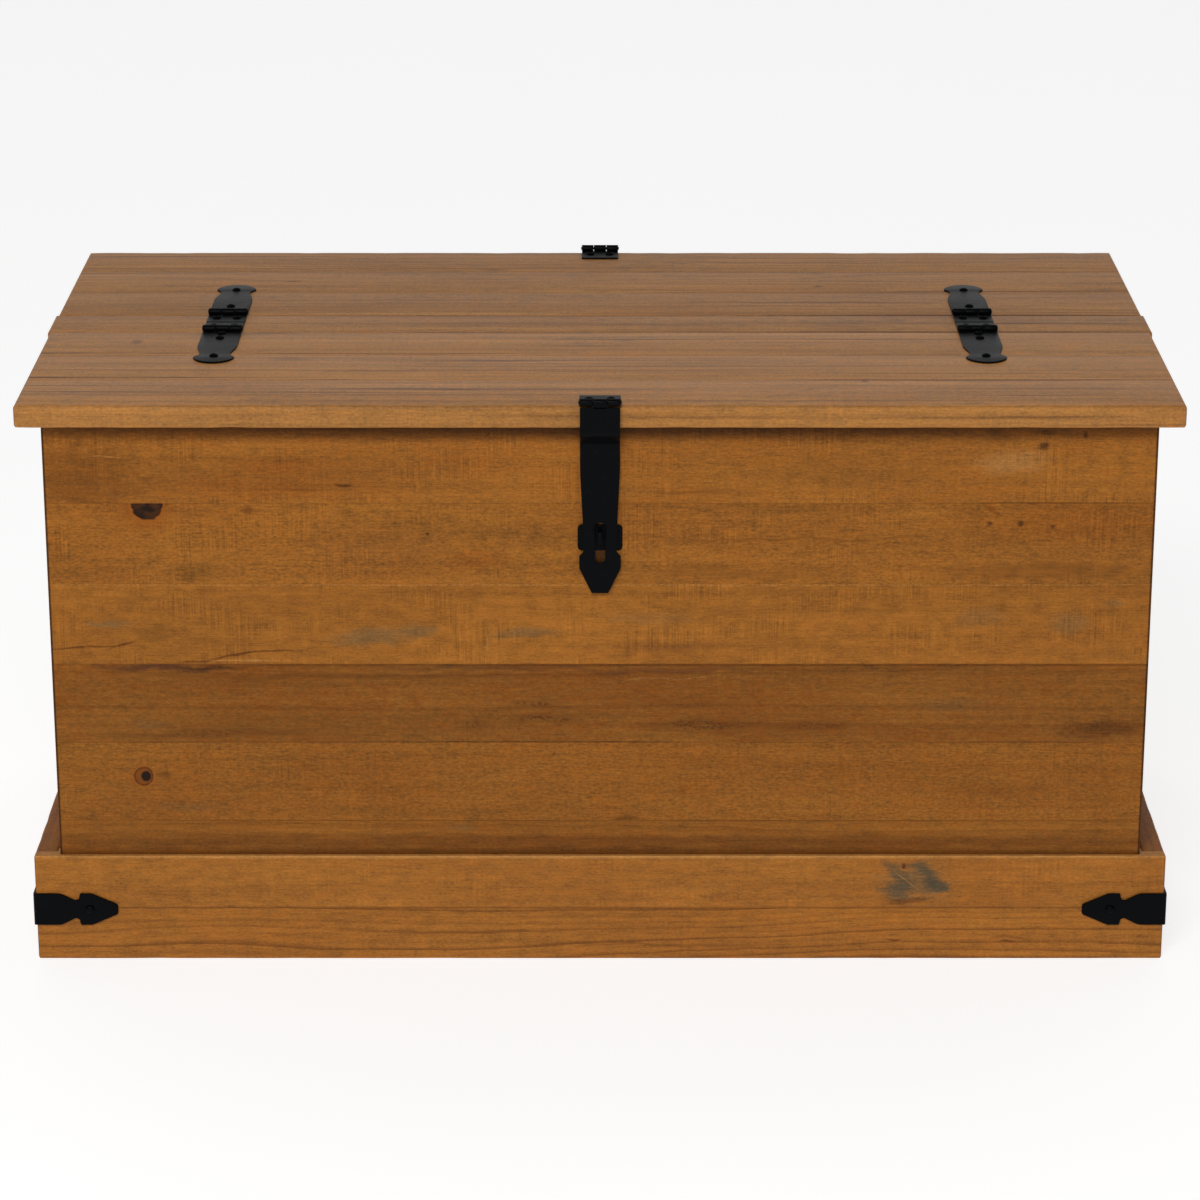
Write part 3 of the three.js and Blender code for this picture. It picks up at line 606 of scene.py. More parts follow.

# How each stave of the front took the stain, from the top down, with its knots and marks. Some marks are
# painted shadow, shade and highlights, noted where they stand.
FRONT_STAVES = [
    dict(seed=11, tone=0.98, rings=0.06, saw=0.80, olive=0.40, red=0.42, marks=[
        # painted shadow: a dark band along the top of the panel, where the lid's overhang throws its shade
        straight(0, 450, 900, 15, SOOT_AND_SHADE, 0.84, fray=0.4),
        Mark(-405, 405, 60, 35, UMBER, 0.46),
        Mark(-250, 410, 160, 22, UMBER, 0.16),
        Mark(-270, 399, 110, 12, RUSSET, 0.40),
        Mark(-255, 416, 45, 9, RUSSET, 0.50),
        Mark(-385, 423, 14, 0.7, PALE, 0.55, broken=0.4),
        Mark(-200, 402, 8, 2.2, SOOT_AND_SHADE, 0.70),
        Mark(-240, 397.5, 50, 1.3, UMBER, 0.50, broken=0.7),
        Mark(345, 431, 6, 5, SOOT_AND_SHADE, 0.75, 0.8),
        Mark(347, 443, 12, 3, SOOT_AND_SHADE, 0.55),
        Mark(377, 441, 2.8, 4.5, SOOT_AND_SHADE, 0.75),
        Mark(309, 440, 12, 5, SOOT_AND_SHADE, 0.45, broken=0.6),
        Mark(320, 418, 35, 13, SAWN, 0.28),
        Mark(200, 408, 70, 9, OLIVE, 0.40),
        Mark(70, 395, 40, 2, UMBER, 0.40, broken=0.6),
        straight(360, 386, 100, 0.7, UMBER, 0.65)]),
    dict(seed=12, tone=0.94, rings=0.05, saw=0.70, olive=0.55, red=0.30, speckle=1.2,
         knots=[Knot((-0.3540, 0.3846), (0.0122, 0.0126), edge=0.30)], marks=[
        straight(-354, 384.8, 21, 1.2, SOOT_AND_SHADE, 0.85, fray=0.4),
        Mark(-339, 384.5, 4.5, 1.8, SOOT_AND_SHADE, 0.6, 0.5),
        Mark(-342, 376, 16, 4, AMBER, 0.7),
        Mark(-238, 383, 13, 3, OLIVE, 0.75),
        Mark(-275, 379, 7, 5, UMBER, 0.50),
        Mark(-320, 330, 25, 10, OLIVE, 0.70),
        Mark(-95, 340, 28, 12, RUSSET, 0.50),
        Mark(-170, 350, 60, 18, LILAC, 0.16),
        Mark(-135, 360.5, 1.8, 1.8, SOOT_AND_SHADE, 0.80, fray=0.4),
        # painted shadow: the wood seen through the strap's slot darkened, where the strap shades it
        straight(0, 342.5, 9.5, 12, SOOT_AND_SHADE, 0.85, fray=0.2),
        Mark(370, 370, 110, 20, RUSSET, 0.45),
        Mark(250, 377, 25, 6, AMBER, 0.80),
        Mark(306, 382, 12, 3, RUSSET, 0.8, -0.6),
        Mark(305, 369, 4, 2.5, SOOT_AND_SHADE, 0.60),
        Mark(329, 368.5, 3, 3, SOOT_AND_SHADE, 0.75),
        Mark(354, 368, 2.5, 2.2, SOOT_AND_SHADE, 0.65),
        Mark(350, 329, 110, 11, UMBER, 0.40, broken=0.6),
        Mark(140, 356, 160, 1.2, UMBER, 0.45, 0.012, broken=0.7),
        Mark(100, 328, 100, 7, UMBER, 0.26, broken=0.6)]),
    dict(seed=13, tone=1.00, rings=0.24, saw=0.85, olive=0.25, red=0.15, speckle=0.8, spacing=9.0,
         pith=(0.262, 0.010), marks=[
        # painted highlight along this stave's top edge, at the seam above it
        straight(0, 318.5, 900, 0.8, PALE, 0.50, broken=0.6),
        Mark(-387, 286, 22, 4.5, GREY, 0.75),
        Mark(-352, 277, 17, 9, OLIVE, 0.80),
        Mark(-180, 275, 40, 8.5, GREY, 0.80, 0.04),
        Mark(-143, 280.5, 20, 7, GREY, 0.75),
        Mark(-106, 274.5, 19, 12.5, UMBER, 0.35),
        Mark(-106, 274.5, 17, 10.5, AMBER, 0.85),
        straight(-89, 269, 0.8, 9, PALE, 0.6, fray=0.3),
        Mark(-60, 278.5, 32, 5.5, GREY, 0.72),
        Mark(-410, 265, 35, 1.2, UMBER, 0.70, 0.03),
        Mark(-378, 268, 18, 1.2, UMBER, 0.70, 0.40),
        Mark(-285, 259, 85, 1.2, UMBER, 0.75, 0.13),
        straight(-280, 255.5, 40, 0.9, PALE, 0.60),
        Mark(40, 290, 45, 6, GREY, 0.35),
        Mark(50, 268, 60, 6, LILAC, 0.30),
        Mark(300, 290.5, 25, 9, GREY, 0.42),
        Mark(370, 286, 18, 11, GREY, 0.62),
        Mark(405, 305, 10, 4, GREY, 0.55),
        Mark(190, 296, 120, 2.5, OLIVE, 0.40, 0.03, broken=0.4)]),
    dict(seed=14, tone=0.76, rings=0.22, saw=0.30, olive=0.22, red=0.75, spacing=5.5, marks=[
        straight(100, 251.5, 650, 1.3, UMBER, 0.70, broken=0.5),
        Mark(-350, 249, 62, 4.5, LILAC, 0.85),
        Mark(-307, 250, 35, 2, SOOT_AND_SHADE, 0.75, broken=0.5),
        Mark(-210, 242, 200, 3, UMBER, 0.50, broken=0.8),
        Mark(-90, 248, 110, 3, LILAC, 0.60, broken=0.5),
        Mark(60, 247, 90, 3.5, LILAC, 0.60, broken=0.5),
        Mark(220, 248, 110, 3.5, SOOT_AND_SHADE, 0.50, broken=0.8),
        Mark(50, 240, 75, 1, PALE, 0.40, 0.02, broken=0.6),
        Mark(-50, 218, 30, 3.5, SOOT_AND_SHADE, 0.60, broken=1.0),
        Mark(-45, 205, 35, 4.5, SOOT_AND_SHADE, 0.65, broken=1.0),
        Mark(-100, 202, 16, 6, SOOT_AND_SHADE, 0.60, broken=1.0),
        Mark(-310, 194, 90, 5, SOOT_AND_SHADE, 0.55, 0.03, broken=1.0),
        Mark(80, 200, 60, 7.5, SOOT_AND_SHADE, 0.60, broken=0.9),
        Mark(170, 201, 50, 5, SOOT_AND_SHADE, 0.50, broken=1.0),
        Mark(65, 218, 50, 3, SOOT_AND_SHADE, 0.45, broken=1.0),
        Mark(400, 196, 45, 10, UMBER, 0.60),
        Mark(-360, 203, 16, 5, GREY, 0.45),
        Mark(280, 218, 40, 8, GREY, 0.30),
        Mark(-240, 200, 200, 16, OLIVE, 0.25),
        straight(-100, 186.5, 180, 1.2, SOOT_AND_SHADE, 0.70, broken=0.6),
        straight(-340, 186.2, 50, 1, SOOT_AND_SHADE, 0.70, broken=0.5),
        straight(30, 186.5, 50, 1.2, SOOT_AND_SHADE, 0.60, broken=0.5),
        straight(330, 186.2, 80, 1, SOOT_AND_SHADE, 0.60, broken=0.5)]),
    dict(seed=15, tone=0.87, rings=0.05, saw=0.40, olive=0.36, red=0.48, speckle=1.2,
         knots=[Knot((-0.3645, 0.1572), (0.0078, 0.0080), hole=0.0020, halo=0.15, heart=0.42, edge=0.50)],
         marks=[
        Mark(-370, 157, 6, 8.5, OLIVE, 0.6),
        Mark(-360, 164, 7.5, 0.8, PALE, 0.6, 0.3, fray=0.4),
        Mark(-348, 158, 9.5, 3, SOOT_AND_SHADE, 0.55, broken=0.5),
        Mark(-330, 130, 30, 6, GREY, 0.35),
        Mark(-150, 127, 140, 4.5, OLIVE, 0.40),
        Mark(300, 148, 70, 11, UMBER, 0.22),
        Mark(20, 121.5, 12, 3.5, SOOT_AND_SHADE, 0.65, broken=0.5),
        Mark(66, 148, 6, 6, RUSSET, 0.60),
        # painted highlight along this stave's top edge, at the seam above it
        straight(0, 186.5, 600, 0.8, PALE, 0.40, broken=0.7)]),
    dict(seed=16, tone=0.86, rings=0.22, saw=0.18, olive=0.22, red=0.55, speckle=0.8, spacing=3.4, marks=[
        straight(-190, 119.7, 280, 1, UMBER, 0.70, broken=0.5),
        straight(200, 119, 240, 1, UMBER, 0.40, broken=0.5),
        # darker towards the bottom of the panel, along the plinth
        Mark(0, 101, 900, 7.5, UMBER, 0.45, fray=0.6),
        straight(0, 91.5, 900, 6, UMBER, 0.60, fray=0.5),
        Mark(-110, 112, 14, 4, GREY, 0.45)]),
]


def stave_bands(low_z, high_z):
    """(low, high) of each stave, cut from the top down."""
    bands = []
    top = high_z
    while top - low_z > 0.25 * STAVE:
        bottom = max(low_z, top - STAVE)
        if bottom - low_z < 0.25 * STAVE:
            bottom = low_z
        bands.append((bottom, top))
        top = bottom
    return bands


def varied(seed, grain, **fixed):
    """A board's wood with its tone and grain drawn at random."""
    rng = random.Random(seed * 31 + 5)
    settings = dict(tone=rng.uniform(0.78, 1.0), rings=rng.uniform(0.10, 0.34), spacing=rng.uniform(3.6, 7.5),
                    saw=rng.uniform(0.3, 0.8), olive=rng.uniform(0.3, 0.6), red=rng.uniform(0.25, 0.5))
    settings.update(fixed)
    return Pine(grain=grain, seed=seed, **settings)


def face_panel(side_name):
    """A front or rear panel: staves along X, edge-glued."""
    node = f"{side_name}_panel"
    low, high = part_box(node)
    bands = stave_bands(low.z, high.z)
    for index, (bottom, top) in enumerate(bands):
        middle, reach_z = (bottom + top) / 2 / MM, 3 * (top - bottom) / MM
        # painted shade: a dark line down each end edge of the panel, where the corner falls into shade
        edges = [straight(x / MM, middle, EDGE_SHADE_WIDTH / MM, reach_z, SOOT_AND_SHADE, 0.85, fray=0.3)
                 for x in (low.x + 0.75 * EDGE_SHADE_WIDTH, high.x - 0.75 * EDGE_SHADE_WIDTH)]
        if side_name == "front":
            settings = FRONT_STAVES[min(index, len(FRONT_STAVES) - 1)]
            wood = Pine(grain="x", **{**settings, "marks": settings["marks"] + edges})
        else:
            rng = random.Random(400 + index)
            place = (rng.uniform(-0.38, 0.38), rng.uniform(bottom, top))
            knots = [Knot(place, (0.0085, 0.0070))] if index % 2 else []
            wood = varied(40 + index, "x", knots=knots, marks=edges)
        board(f"{node}_stave_{index + 1}", Vector((low.x, low.y, bottom + SEAM_SHUT)),
              Vector((high.x, high.y, top)), 0, wood, "box", nodes=[node] if index == 0 else ())


def end_panel(end_name):
    """A left or right panel: staves along Y between the front and rear panels."""
    node = f"{end_name}_panel"
    low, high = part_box(node)
    bands = stave_bands(low.z, high.z)
    for index, (bottom, top) in enumerate(bands):
        seed = (60 if end_name == "left" else 80) + index
        rng = random.Random(seed)
        place = (rng.uniform(-0.17, 0.17), rng.uniform(bottom, top))
        knots = [Knot(place, (0.0080, 0.0065))] if index == 3 else []
        board(f"{node}_stave_{index + 1}", Vector((low.x, low.y, bottom + SEAM_SHUT)),
              Vector((high.x, high.y, top)), 1, varied(seed, "y", knots=knots), "box",
              nodes=[node] if index == 0 else ())


# ---------------------------------------------------------------- plinth

PLINTH_SEAM_Z = 44.5 * MM
PLINTH_ROUND = 2.6 * MM
PLINTH_FOOT_ROUND = 1.2 * MM
PLINTH_END_ROUND = 1.6 * MM
PLINTH_LIP = 9.5 * MM

PLINTH_STAVES = {
    ("front", "upper"): dict(seed=21, tone=1.12, rings=0.20, saw=0.45, olive=0.30, red=0.30,
                             speckle=0.90, gloss=0.16, marks=[
        # painted highlight along the plinth's rounded top edge and top face
        straight(0, 90, 900, 3, PALE, 0.85, fray=0.4),
        Mark(254, 67, 34, 23, GREY, 0.60, fray=1.6),
        Mark(252, 66, 20, 15, SLATE, 0.40, -0.40, fray=1.9),
        Mark(238, 74.5, 20, 6.5, SLATE, 0.60, -0.89, fray=1.6),
        Mark(266, 72, 22, 7.5, SLATE, 0.85, -0.80, fray=1.6),
        Mark(272, 63, 13, 7, SLATE, 0.70, fray=1.6),
        Mark(240, 60, 16, 9.5, SLATE, 0.75, 0.20, fray=1.6),
        Mark(248, 51, 24, 3.5, UMBER, 0.60, fray=1.6),
        straight(246, 69, 14, 0.8, PALE, 0.40, -0.68),
        Mark(244.4, 81, 2.2, 3.4, RUST, 0.90, fray=0.4),
        straight(0, 45, 900, 1.2, UMBER, 0.50, broken=0.5)]),
    ("front", "lower"): dict(seed=22, tone=1.13, rings=0.60, saw=0.25, olive=0.30, red=0.30,
                             speckle=0.90, gloss=0.16, spacing=4.2, pith=(0.230, 0.02), marks=[
        Mark(237, 17.8, 9, 1.6, RUST, 0.80),
        Mark(330, 18.2, 20, 1.4, RUST, 0.50, broken=0.5),
        Mark(330, 15, 8, 1.2, RUST, 0.60),
        Mark(-100, 24, 100, 1.4, UMBER, 0.50, broken=0.6),
        Mark(60, 12, 120, 1.4, UMBER, 0.50, broken=0.6)]),
}


def plinth_face(side_name):
    """A front or rear plinth board, glued up from two staves, with its thin lips over the side boards."""
    node = f"plinth_{side_name}"
    low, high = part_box(node)
    bands = {"lower": (low.z, PLINTH_SEAM_Z), "upper": (PLINTH_SEAM_Z + SEAM_SHUT, high.z)}
    for index, (band, (bottom, top)) in enumerate(bands.items()):
        settings = PLINTH_STAVES.get((side_name, band))
        wood = Pine(grain="x", **settings) if settings else varied(100 + index, "x", tone=1.0)
        round_top = PLINTH_ROUND if band == "upper" else EASED
        round_low = EASED if band == "upper" else PLINTH_FOOT_ROUND
        radii = (round_top, round_low, round_low, round_top)
        face_low, face_high = Vector((low.x, low.y, bottom)), Vector((high.x, high.y, top))
        piece = board(f"{node}_{band}", face_low, face_high, 0, wood, "box", radii=radii,
                      end_radius=PLINTH_END_ROUND, nodes=[node] if index == 0 else ())
        rabbet(piece, node, SIDES[side_name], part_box("plinth_right")[0].x)


def rabbet(piece, node, side, end_inner):
    """Pulls in the back of a plinth board's ends, so that only a thin lip covers the end boards."""
    size = Vector((0.1, 0.05, 0.2))
    lip_back = outer_y(node, side) - side * PLINTH_LIP
    cut_y = lip_back if side < 0 else lip_back - size.y
    for cut_x in (-end_inner - size.x, end_inner):
        corner = Vector((cut_x, cut_y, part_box(node)[0].z - 0.01))
        cut_box(piece, corner, corner + size)


def cut_box(piece, low, high):
    """Cuts a box out of a piece."""
    geometry = bmesh.new()
    bmesh.ops.create_cube(geometry, size=1.0)
    for vertex in geometry.verts:
        vertex.co = Vector([(a + b) / 2 + f * (b - a) for a, b, f in zip(low, high, vertex.co)])
    cutter = linked("cutter", mesh_of(geometry))
    cut = piece.modifiers.new("cut", "BOOLEAN")
    cut.operation = "DIFFERENCE"
    cut.solver = "EXACT"
    cut.object = cutter
    result = evaluated(piece)
    piece.modifiers.clear()
    piece.data = result
    bpy.data.objects.remove(cutter)


def plinth_end(end_name):
    """A left or right plinth board of two staves along Y."""
    node = f"plinth_{end_name}"
    low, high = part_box(node)
    bands = [(low.z, PLINTH_SEAM_Z), (PLINTH_SEAM_Z + SEAM_SHUT, high.z)]
    for index, (bottom, top) in enumerate(bands):
        seed = (120 if end_name == "left" else 130) + index
        radii = (PLINTH_ROUND, EASED, EASED, PLINTH_ROUND) if index else (EASED,) * 4
        board(f"{node}_{'upper' if index else 'lower'}", Vector((low.x, low.y, bottom)),
              Vector((high.x, high.y, top)), 1, varied(seed, "y", tone=0.98), "box",
              radii=radii, nodes=[node] if index == 0 else ())


# ---------------------------------------------------------------- lids and centre rail

LID_ROUND = 3.0 * MM
LID_SEAM_ROUND = 0.7 * MM
LID_END_ROUND = 1.8 * MM
LID_STAVES = 3
# The lighter base of the lids and rail and the lifted lid tone are painted sheen, the light their tops catch.
# The LID_EDGE strip keeps each lid's outer edge darker than its top.
LID_BASE = srgb(160, 108, 48)
LID_LIGHT = srgb(176, 121, 58)
LID_EDGE = srgb(136, 90, 36)
LID_WOOD = dict(base=LID_BASE, light=LID_LIGHT, red=0.34, olive=0.45, lines=0.95, saw=0.30, rings=0.20,
                streaks=0.95, speckle=1.0)
LID_TONE_AND_SHEEN = {"front": 1.25, "rear": 1.16}
LID_GLOSS = {"front": 0.30, "rear": 0.22}

# Marks on the lids and on the rail between them, by (x, y): dark grain lines, then spots and light edges.
LID_MARKS = {
    "front": [
        straight(0, -232, 320, 1, EARTH, 0.60, broken=0.3),
        straight(-100, -214, 260, 1.1, EARTH, 0.55, broken=0.4),
        straight(335, -198.5, 130, 2, EARTH, 0.85, broken=0.3),
        straight(300, -174.5, 170, 1.7, EARTH, 0.80, broken=0.3),
        straight(-200, -172, 150, 1.4, EARTH, 0.70, broken=0.3),
        straight(-212, -171.5, 26, 1.6, UMBER, 0.75, broken=0.3),
        straight(290, -154, 170, 2.4, EARTH, 0.75, broken=0.3),
        straight(20, -144, 430, 2.4, EARTH, 0.60, broken=0.3),
        straight(-10, -124, 180, 1.8, EARTH, 0.50, broken=0.3),
        straight(-347, -92.5, 25, 1.6, UMBER, 0.80, broken=0.3),
        straight(-250, -93, 48, 1.6, UMBER, 0.80, broken=0.3),
        straight(265, -95, 70, 2, EARTH, 0.60, broken=0.3),
        straight(-18, -70.5, 45, 1.8, UMBER, 0.75, broken=0.3),
        straight(150, -58, 120, 1.6, EARTH, 0.50, broken=0.3),
        straight(-270, -30, 26, 2.6, UMBER, 0.70),
        straight(200, -28.5, 260, 1.6, EARTH, 0.70),
        Mark(208, -177, 4, 3, UMBER, 0.80),
        Mark(-377, -58, 6, 9, LILAC, 0.60),
        Mark(-250, -110, 20, 8, LILAC, 0.35),
        straight(240, -35, 230, 5, PALE, 0.50, fray=0.5)],
    "rear": [
        Mark(-264, 143, 10, 3.5, UMBER, 0.65),
        Mark(-92, 183, 14, 2.6, UMBER, 0.65),
        Mark(187, 123, 6, 4, UMBER, 0.65),
        Mark(50, 112, 60, 2.4, EARTH, 0.60, broken=0.3),
        Mark(210, 90, 80, 2.2, EARTH, 0.60, broken=0.3),
        Mark(170, 70, 130, 4.5, EARTH, 0.65, broken=0.3),
        Mark(-150, 78, 200, 2, EARTH, 0.50, broken=0.3),
        Mark(330, 175, 120, 2.2, EARTH, 0.60, broken=0.3),
        Mark(-300, 126, 130, 2, EARTH, 0.50, broken=0.3),
        Mark(150, 208, 240, 2, EARTH, 0.60, broken=0.3),
        Mark(-250, 220, 160, 4, OLIVE, 0.60, broken=0.3),
        straight(-140, 33, 200, 5, PALE, 0.75, fray=0.5),
        straight(60, 33, 120, 4, RUSSET, 0.60, broken=0.3),
        straight(280, 28.5, 200, 2.6, UMBER, 0.80, fray=0.5)],
}
RAIL_MARKS = [
    straight(0, 1, 700, 2.2, EARTH, 0.60, broken=0.3),
    straight(345, 1, 35, 3, UMBER, 0.80, broken=0.3),
    straight(-130, -15, 240, 5, PALE, 0.45, fray=0.5),
    straight(-100, 24, 300, 3, EARTH, 0.60, fray=0.5),
    straight(270, 25, 230, 2.2, UMBER, 0.60, fray=0.5),
    straight(270, -25.5, 230, 2, UMBER, 0.65, fray=0.5),
]


def marks_between(marks, low, high):
    """Those marks that reach into a stave."""
    return [mark for mark in marks if low - mark.size[1] < mark.place[1] < high + mark.size[1]]


def lid(side_name):
    """A lid of three staves along X, rounded along its outer edge."""
    node = f"{side_name}_lid"
    sign = SIDES[side_name]
    low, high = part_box(node)
    width = (high.y - low.y) / LID_STAVES
    # a darker strip along the lid's outer edge, set against the painted sheen of its top
    edge = straight(0, outer_y(node, sign) / MM, 1200, 3, LID_EDGE, 0.50, fray=0.4)
    marks = LID_MARKS[side_name] + [edge]
    for index in range(LID_STAVES):
        outer = high.y - width * index if sign > 0 else low.y + width * index
        inner = outer - sign * width
        bottom_y, top_y = sorted((outer, inner))
        outer_round = LID_ROUND if index == 0 else EASED
        inner_round = LID_SEAM_ROUND if index == LID_STAVES - 1 else EASED
        plus, minus = (outer_round, inner_round) if sign > 0 else (inner_round, outer_round)
        seed = (140 if sign < 0 else 150) + index
        wood = varied(seed, "top", **LID_WOOD, marks=marks_between(marks, bottom_y, top_y),
                      tone=LID_TONE_AND_SHEEN[side_name] * (1.0, 1.02, 0.98)[index], gloss=LID_GLOSS[side_name])
        board(f"{node}_stave_{index + 1}", Vector((low.x, bottom_y + SEAM_SHUT, low.z)),
              Vector((high.x, top_y, high.z)), 0, wood, f"{side_name}_lid_assembly",
              radii=(plus, minus, minus, plus), end_radius=LID_END_ROUND, nodes=[node] if index == 0 else ())


def rail():
    """The fixed board between the lids."""
    low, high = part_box("centre_rail")
    wood = varied(160, "top", **LID_WOOD, marks=RAIL_MARKS, tone=1.15, gloss=0.25)
    board("centre_rail_board", low, high, 0, wood, "box", radii=(LID_SEAM_ROUND,) * 4,
          end_radius=LID_END_ROUND, nodes=["centre_rail"])


# ---------------------------------------------------------------- inside

FLOOR_BOARDS = 4


def inside():
    """Bearers, corner cleats and the bottom panel, in bare sawn pine."""
    bare = dict(base=SAWN, light=PALE, tone=0.95, olive=0.15, red=0.1, rough=0.65)
    battens = [name for name in sorted(frame["nodes"]) if name.startswith(("bearer", "corner_cleat"))]
    for seed, name in enumerate(battens, start=181):
        low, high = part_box(name)
        size = high - low
        axis = max(range(3), key=lambda i: size[i])
        board(f"{name}_batten", low, high, axis, varied(seed, "xyz"[axis], **bare), "box",
              nodes=[name])
    low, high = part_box("bottom_panel")
    width = (high.y - low.y) / FLOOR_BOARDS
    for index in range(FLOOR_BOARDS):
        board(f"bottom_board_{index + 1}", Vector((low.x, low.y + index * width + SEAM_SHUT, low.z)),
              Vector((high.x, low.y + (index + 1) * width, high.z)), 0, varied(200 + index, "top", **bare),
              "box", nodes=["bottom_panel"] if index == 0 else ())


# ---------------------------------------------------------------- sheet iron

IRON_T = 1.5 * MM
BRACE_T = 2 * MM
BEVEL = 0.3 * MM


def rounded(corners, steps=5):
    """Outline through corners, each (u, v) or (u, v, radius) for a rounded corner."""
    points = []
    for index, corner in enumerate(corners):
        here = Vector(corner[:2])
        radius = corner[2] if len(corner) > 2 else 0
        if not radius:
            points.append(here)
            continue
        back = (Vector(corners[index - 1][:2]) - here).normalized()
        ahead = (Vector(corners[(index + 1) % len(corners)][:2]) - here).normalized()
        half = math.acos(max(-1, min(1, back.dot(ahead)))) / 2
        centre = here + (back + ahead).normalized() * (radius / math.sin(half))
        start = here + back * (radius / math.tan(half)) - centre
        end = here + ahead * (radius / math.tan(half)) - centre
        turn = start.angle_signed(end)
        for step in range(steps + 1):
            angle = -turn * step / steps
            cos, sin = math.cos(angle), math.sin(angle)
            points.append(centre + Vector((start.x * cos - start.y * sin, start.x * sin + start.y * cos)))
    return [tuple(point) for point in points]


def plate(loops, thickness, bevel=BEVEL):
    """A bmesh of a flat plate, u and v across it and t through it, with rounded edges."""
    curve = bpy.data.curves.new("plate", "CURVE")
    curve.dimensions = "2D"
    curve.fill_mode = "BOTH"
    curve.extrude = thickness / 2 - bevel
    curve.bevel_depth = bevel
    curve.bevel_resolution = 2
    curve.offset = -bevel
    for loop in loops:
        spline = curve.splines.new("POLY")
        spline.points.add(len(loop) - 1)
        for point, (u, v) in zip(spline.points, loop):
            point.co = (u, v, 0, 1)
        spline.use_cyclic_u = True
    holder = linked("plate", curve)
    mesh = evaluated(holder)
    bpy.data.objects.remove(holder)
    geometry = bmesh.new()
    geometry.from_mesh(mesh)
    bmesh.ops.remove_doubles(geometry, verts=geometry.verts, dist=WELD)
    return geometry


def cross_cut(geometry, axis, places):
    """Cuts a plate across at each place, so that it can bend there."""
    normal = Vector((0, 0, 0))
    normal[axis] = 1
    for place in places:
        parts = geometry.verts[:] + geometry.edges[:] + geometry.faces[:]
        bmesh.ops.bisect_plane(geometry, geom=parts, plane_co=normal * place, plane_no=normal, dist=1e-7)


def moved(geometry, place):
    """Sends every vertex (u, v, t) through place."""
    for vertex in geometry.verts:
        vertex.co = Vector(place(*vertex.co))
    return geometry


def joined(parts):
    """Several bmeshes as one."""
    whole = bmesh.new()
    for part in parts:
        mesh = bpy.data.meshes.new("part")
        bmesh.ops.recalc_face_normals(part, faces=part.faces)
        part.to_mesh(mesh)
        part.free()
        whole.from_mesh(mesh)
        bpy.data.meshes.remove(mesh)
    return whole


def ironwork(name, parts, body, node):
    """A painted iron piece made of several bmeshes, standing for its CAD node."""
    settle(name, mesh_of(joined(parts)), IRON, body, [node])


def lathe(profile, steps):
    """A closed solid turned round the t axis from (radius, t) points that start and end on it."""
    geometry = bmesh.new()
    rings = []
    for radius, along in profile:
        if radius < 1e-7:
            rings.append([geometry.verts.new((0, 0, along))])
            continue
        angles = [2 * math.pi * step / steps for step in range(steps)]
        rings.append([geometry.verts.new((radius * math.cos(angle), radius * math.sin(angle), along))
                      for angle in angles])
    for one, two in zip(rings, rings[1:]):
        for i in range(steps):
            j = (i + 1) % steps
            corners = [one[i % len(one)], one[j % len(one)], two[j % len(two)], two[i % len(two)]]
            geometry.faces.new(list(dict.fromkeys(corners)))
    return geometry


# ---------------------------------------------------------------- hinge barrels

KNUCKLE_R = 3 * MM
KNUCKLE_L = 32 * MM
KNUCKLE_MID = 10.75 * MM
KNUCKLE_GAP = 0.375 * MM
AXIS_H = 3.25 * MM
LEAF_W = 32 * MM
OUTER_LENGTH = (KNUCKLE_L - KNUCKLE_MID) / 2 - KNUCKLE_GAP
OUTER_X = (KNUCKLE_L - OUTER_LENGTH) / 2
MIDDLE = [(0.0, KNUCKLE_MID)]
OUTERS = [(-OUTER_X, OUTER_LENGTH), (OUTER_X, OUTER_LENGTH)]
CLEAR = KNUCKLE_R + 0.5 * MM


def rolled(lead):
    """Section of a knuckle rolled from the sheet: the sheet comes in along u and turns round the pin."""
    outer, inner = KNUCKLE_R, KNUCKLE_R - IRON_T
    turn = math.radians(292)
    steps = 22
    angles = [-math.pi / 2 - turn * step / steps for step in range(steps + 1)]
    points = [(lead, -outer)]
    points += [(outer * math.cos(a), outer * math.sin(a)) for a in angles]
    points += [(inner * math.cos(a), inner * math.sin(a)) for a in reversed(angles)]
    points.append((lead, -inner))
    return points


def knuckles(layout, place, lead=4.5 * MM):
    """Rolled knuckles, each sent to its place by place(u, v, x)."""
    parts = []
    for middle, length in layout:
        part = plate([rolled(lead)], length, 0.3 * MM)
        parts.append(moved(part, lambda u, v, t, middle=middle: place(u, v, middle + t)))
    return parts


def notched_start(half, own_middle):
    """The barrel end of a leaf's outline, from (-half) to (+half), cleared for the other leaf."""
    inner = KNUCKLE_MID / 2
    own = KNUCKLE_R - 0.5 * MM
    if own_middle:
        return [(-half, CLEAR), (-inner, CLEAR), (-inner, own), (inner, own), (inner, CLEAR), (half, CLEAR)]
    inner += 2 * KNUCKLE_GAP
    return [(-half, own), (-inner, own), (-inner, CLEAR), (inner, CLEAR), (inner, own), (half, own)]


def bezier(a, b, c, d, steps=10):
    """Points of a cubic curve after its start."""
    points = []
    for step in range(1, steps + 1):
        t = step / steps
        s = 1 - t
        points.append(tuple(s ** 3 * a[i] + 3 * s * s * t * b[i] + 3 * s * t * t * c[i] + t ** 3 * d[i]
                            for i in (0, 1)))
    return points


LONG_LEAF = 97.5 * MM
SHORT_LEAF = 26 * MM
HASP_LEAF = 27 * MM
LEAF_STRAIGHT = 46 * MM
NECK = 12.25 * MM
NECK_AT = 73 * MM
BARB = 16.5 * MM
BARB_AT = 81 * MM


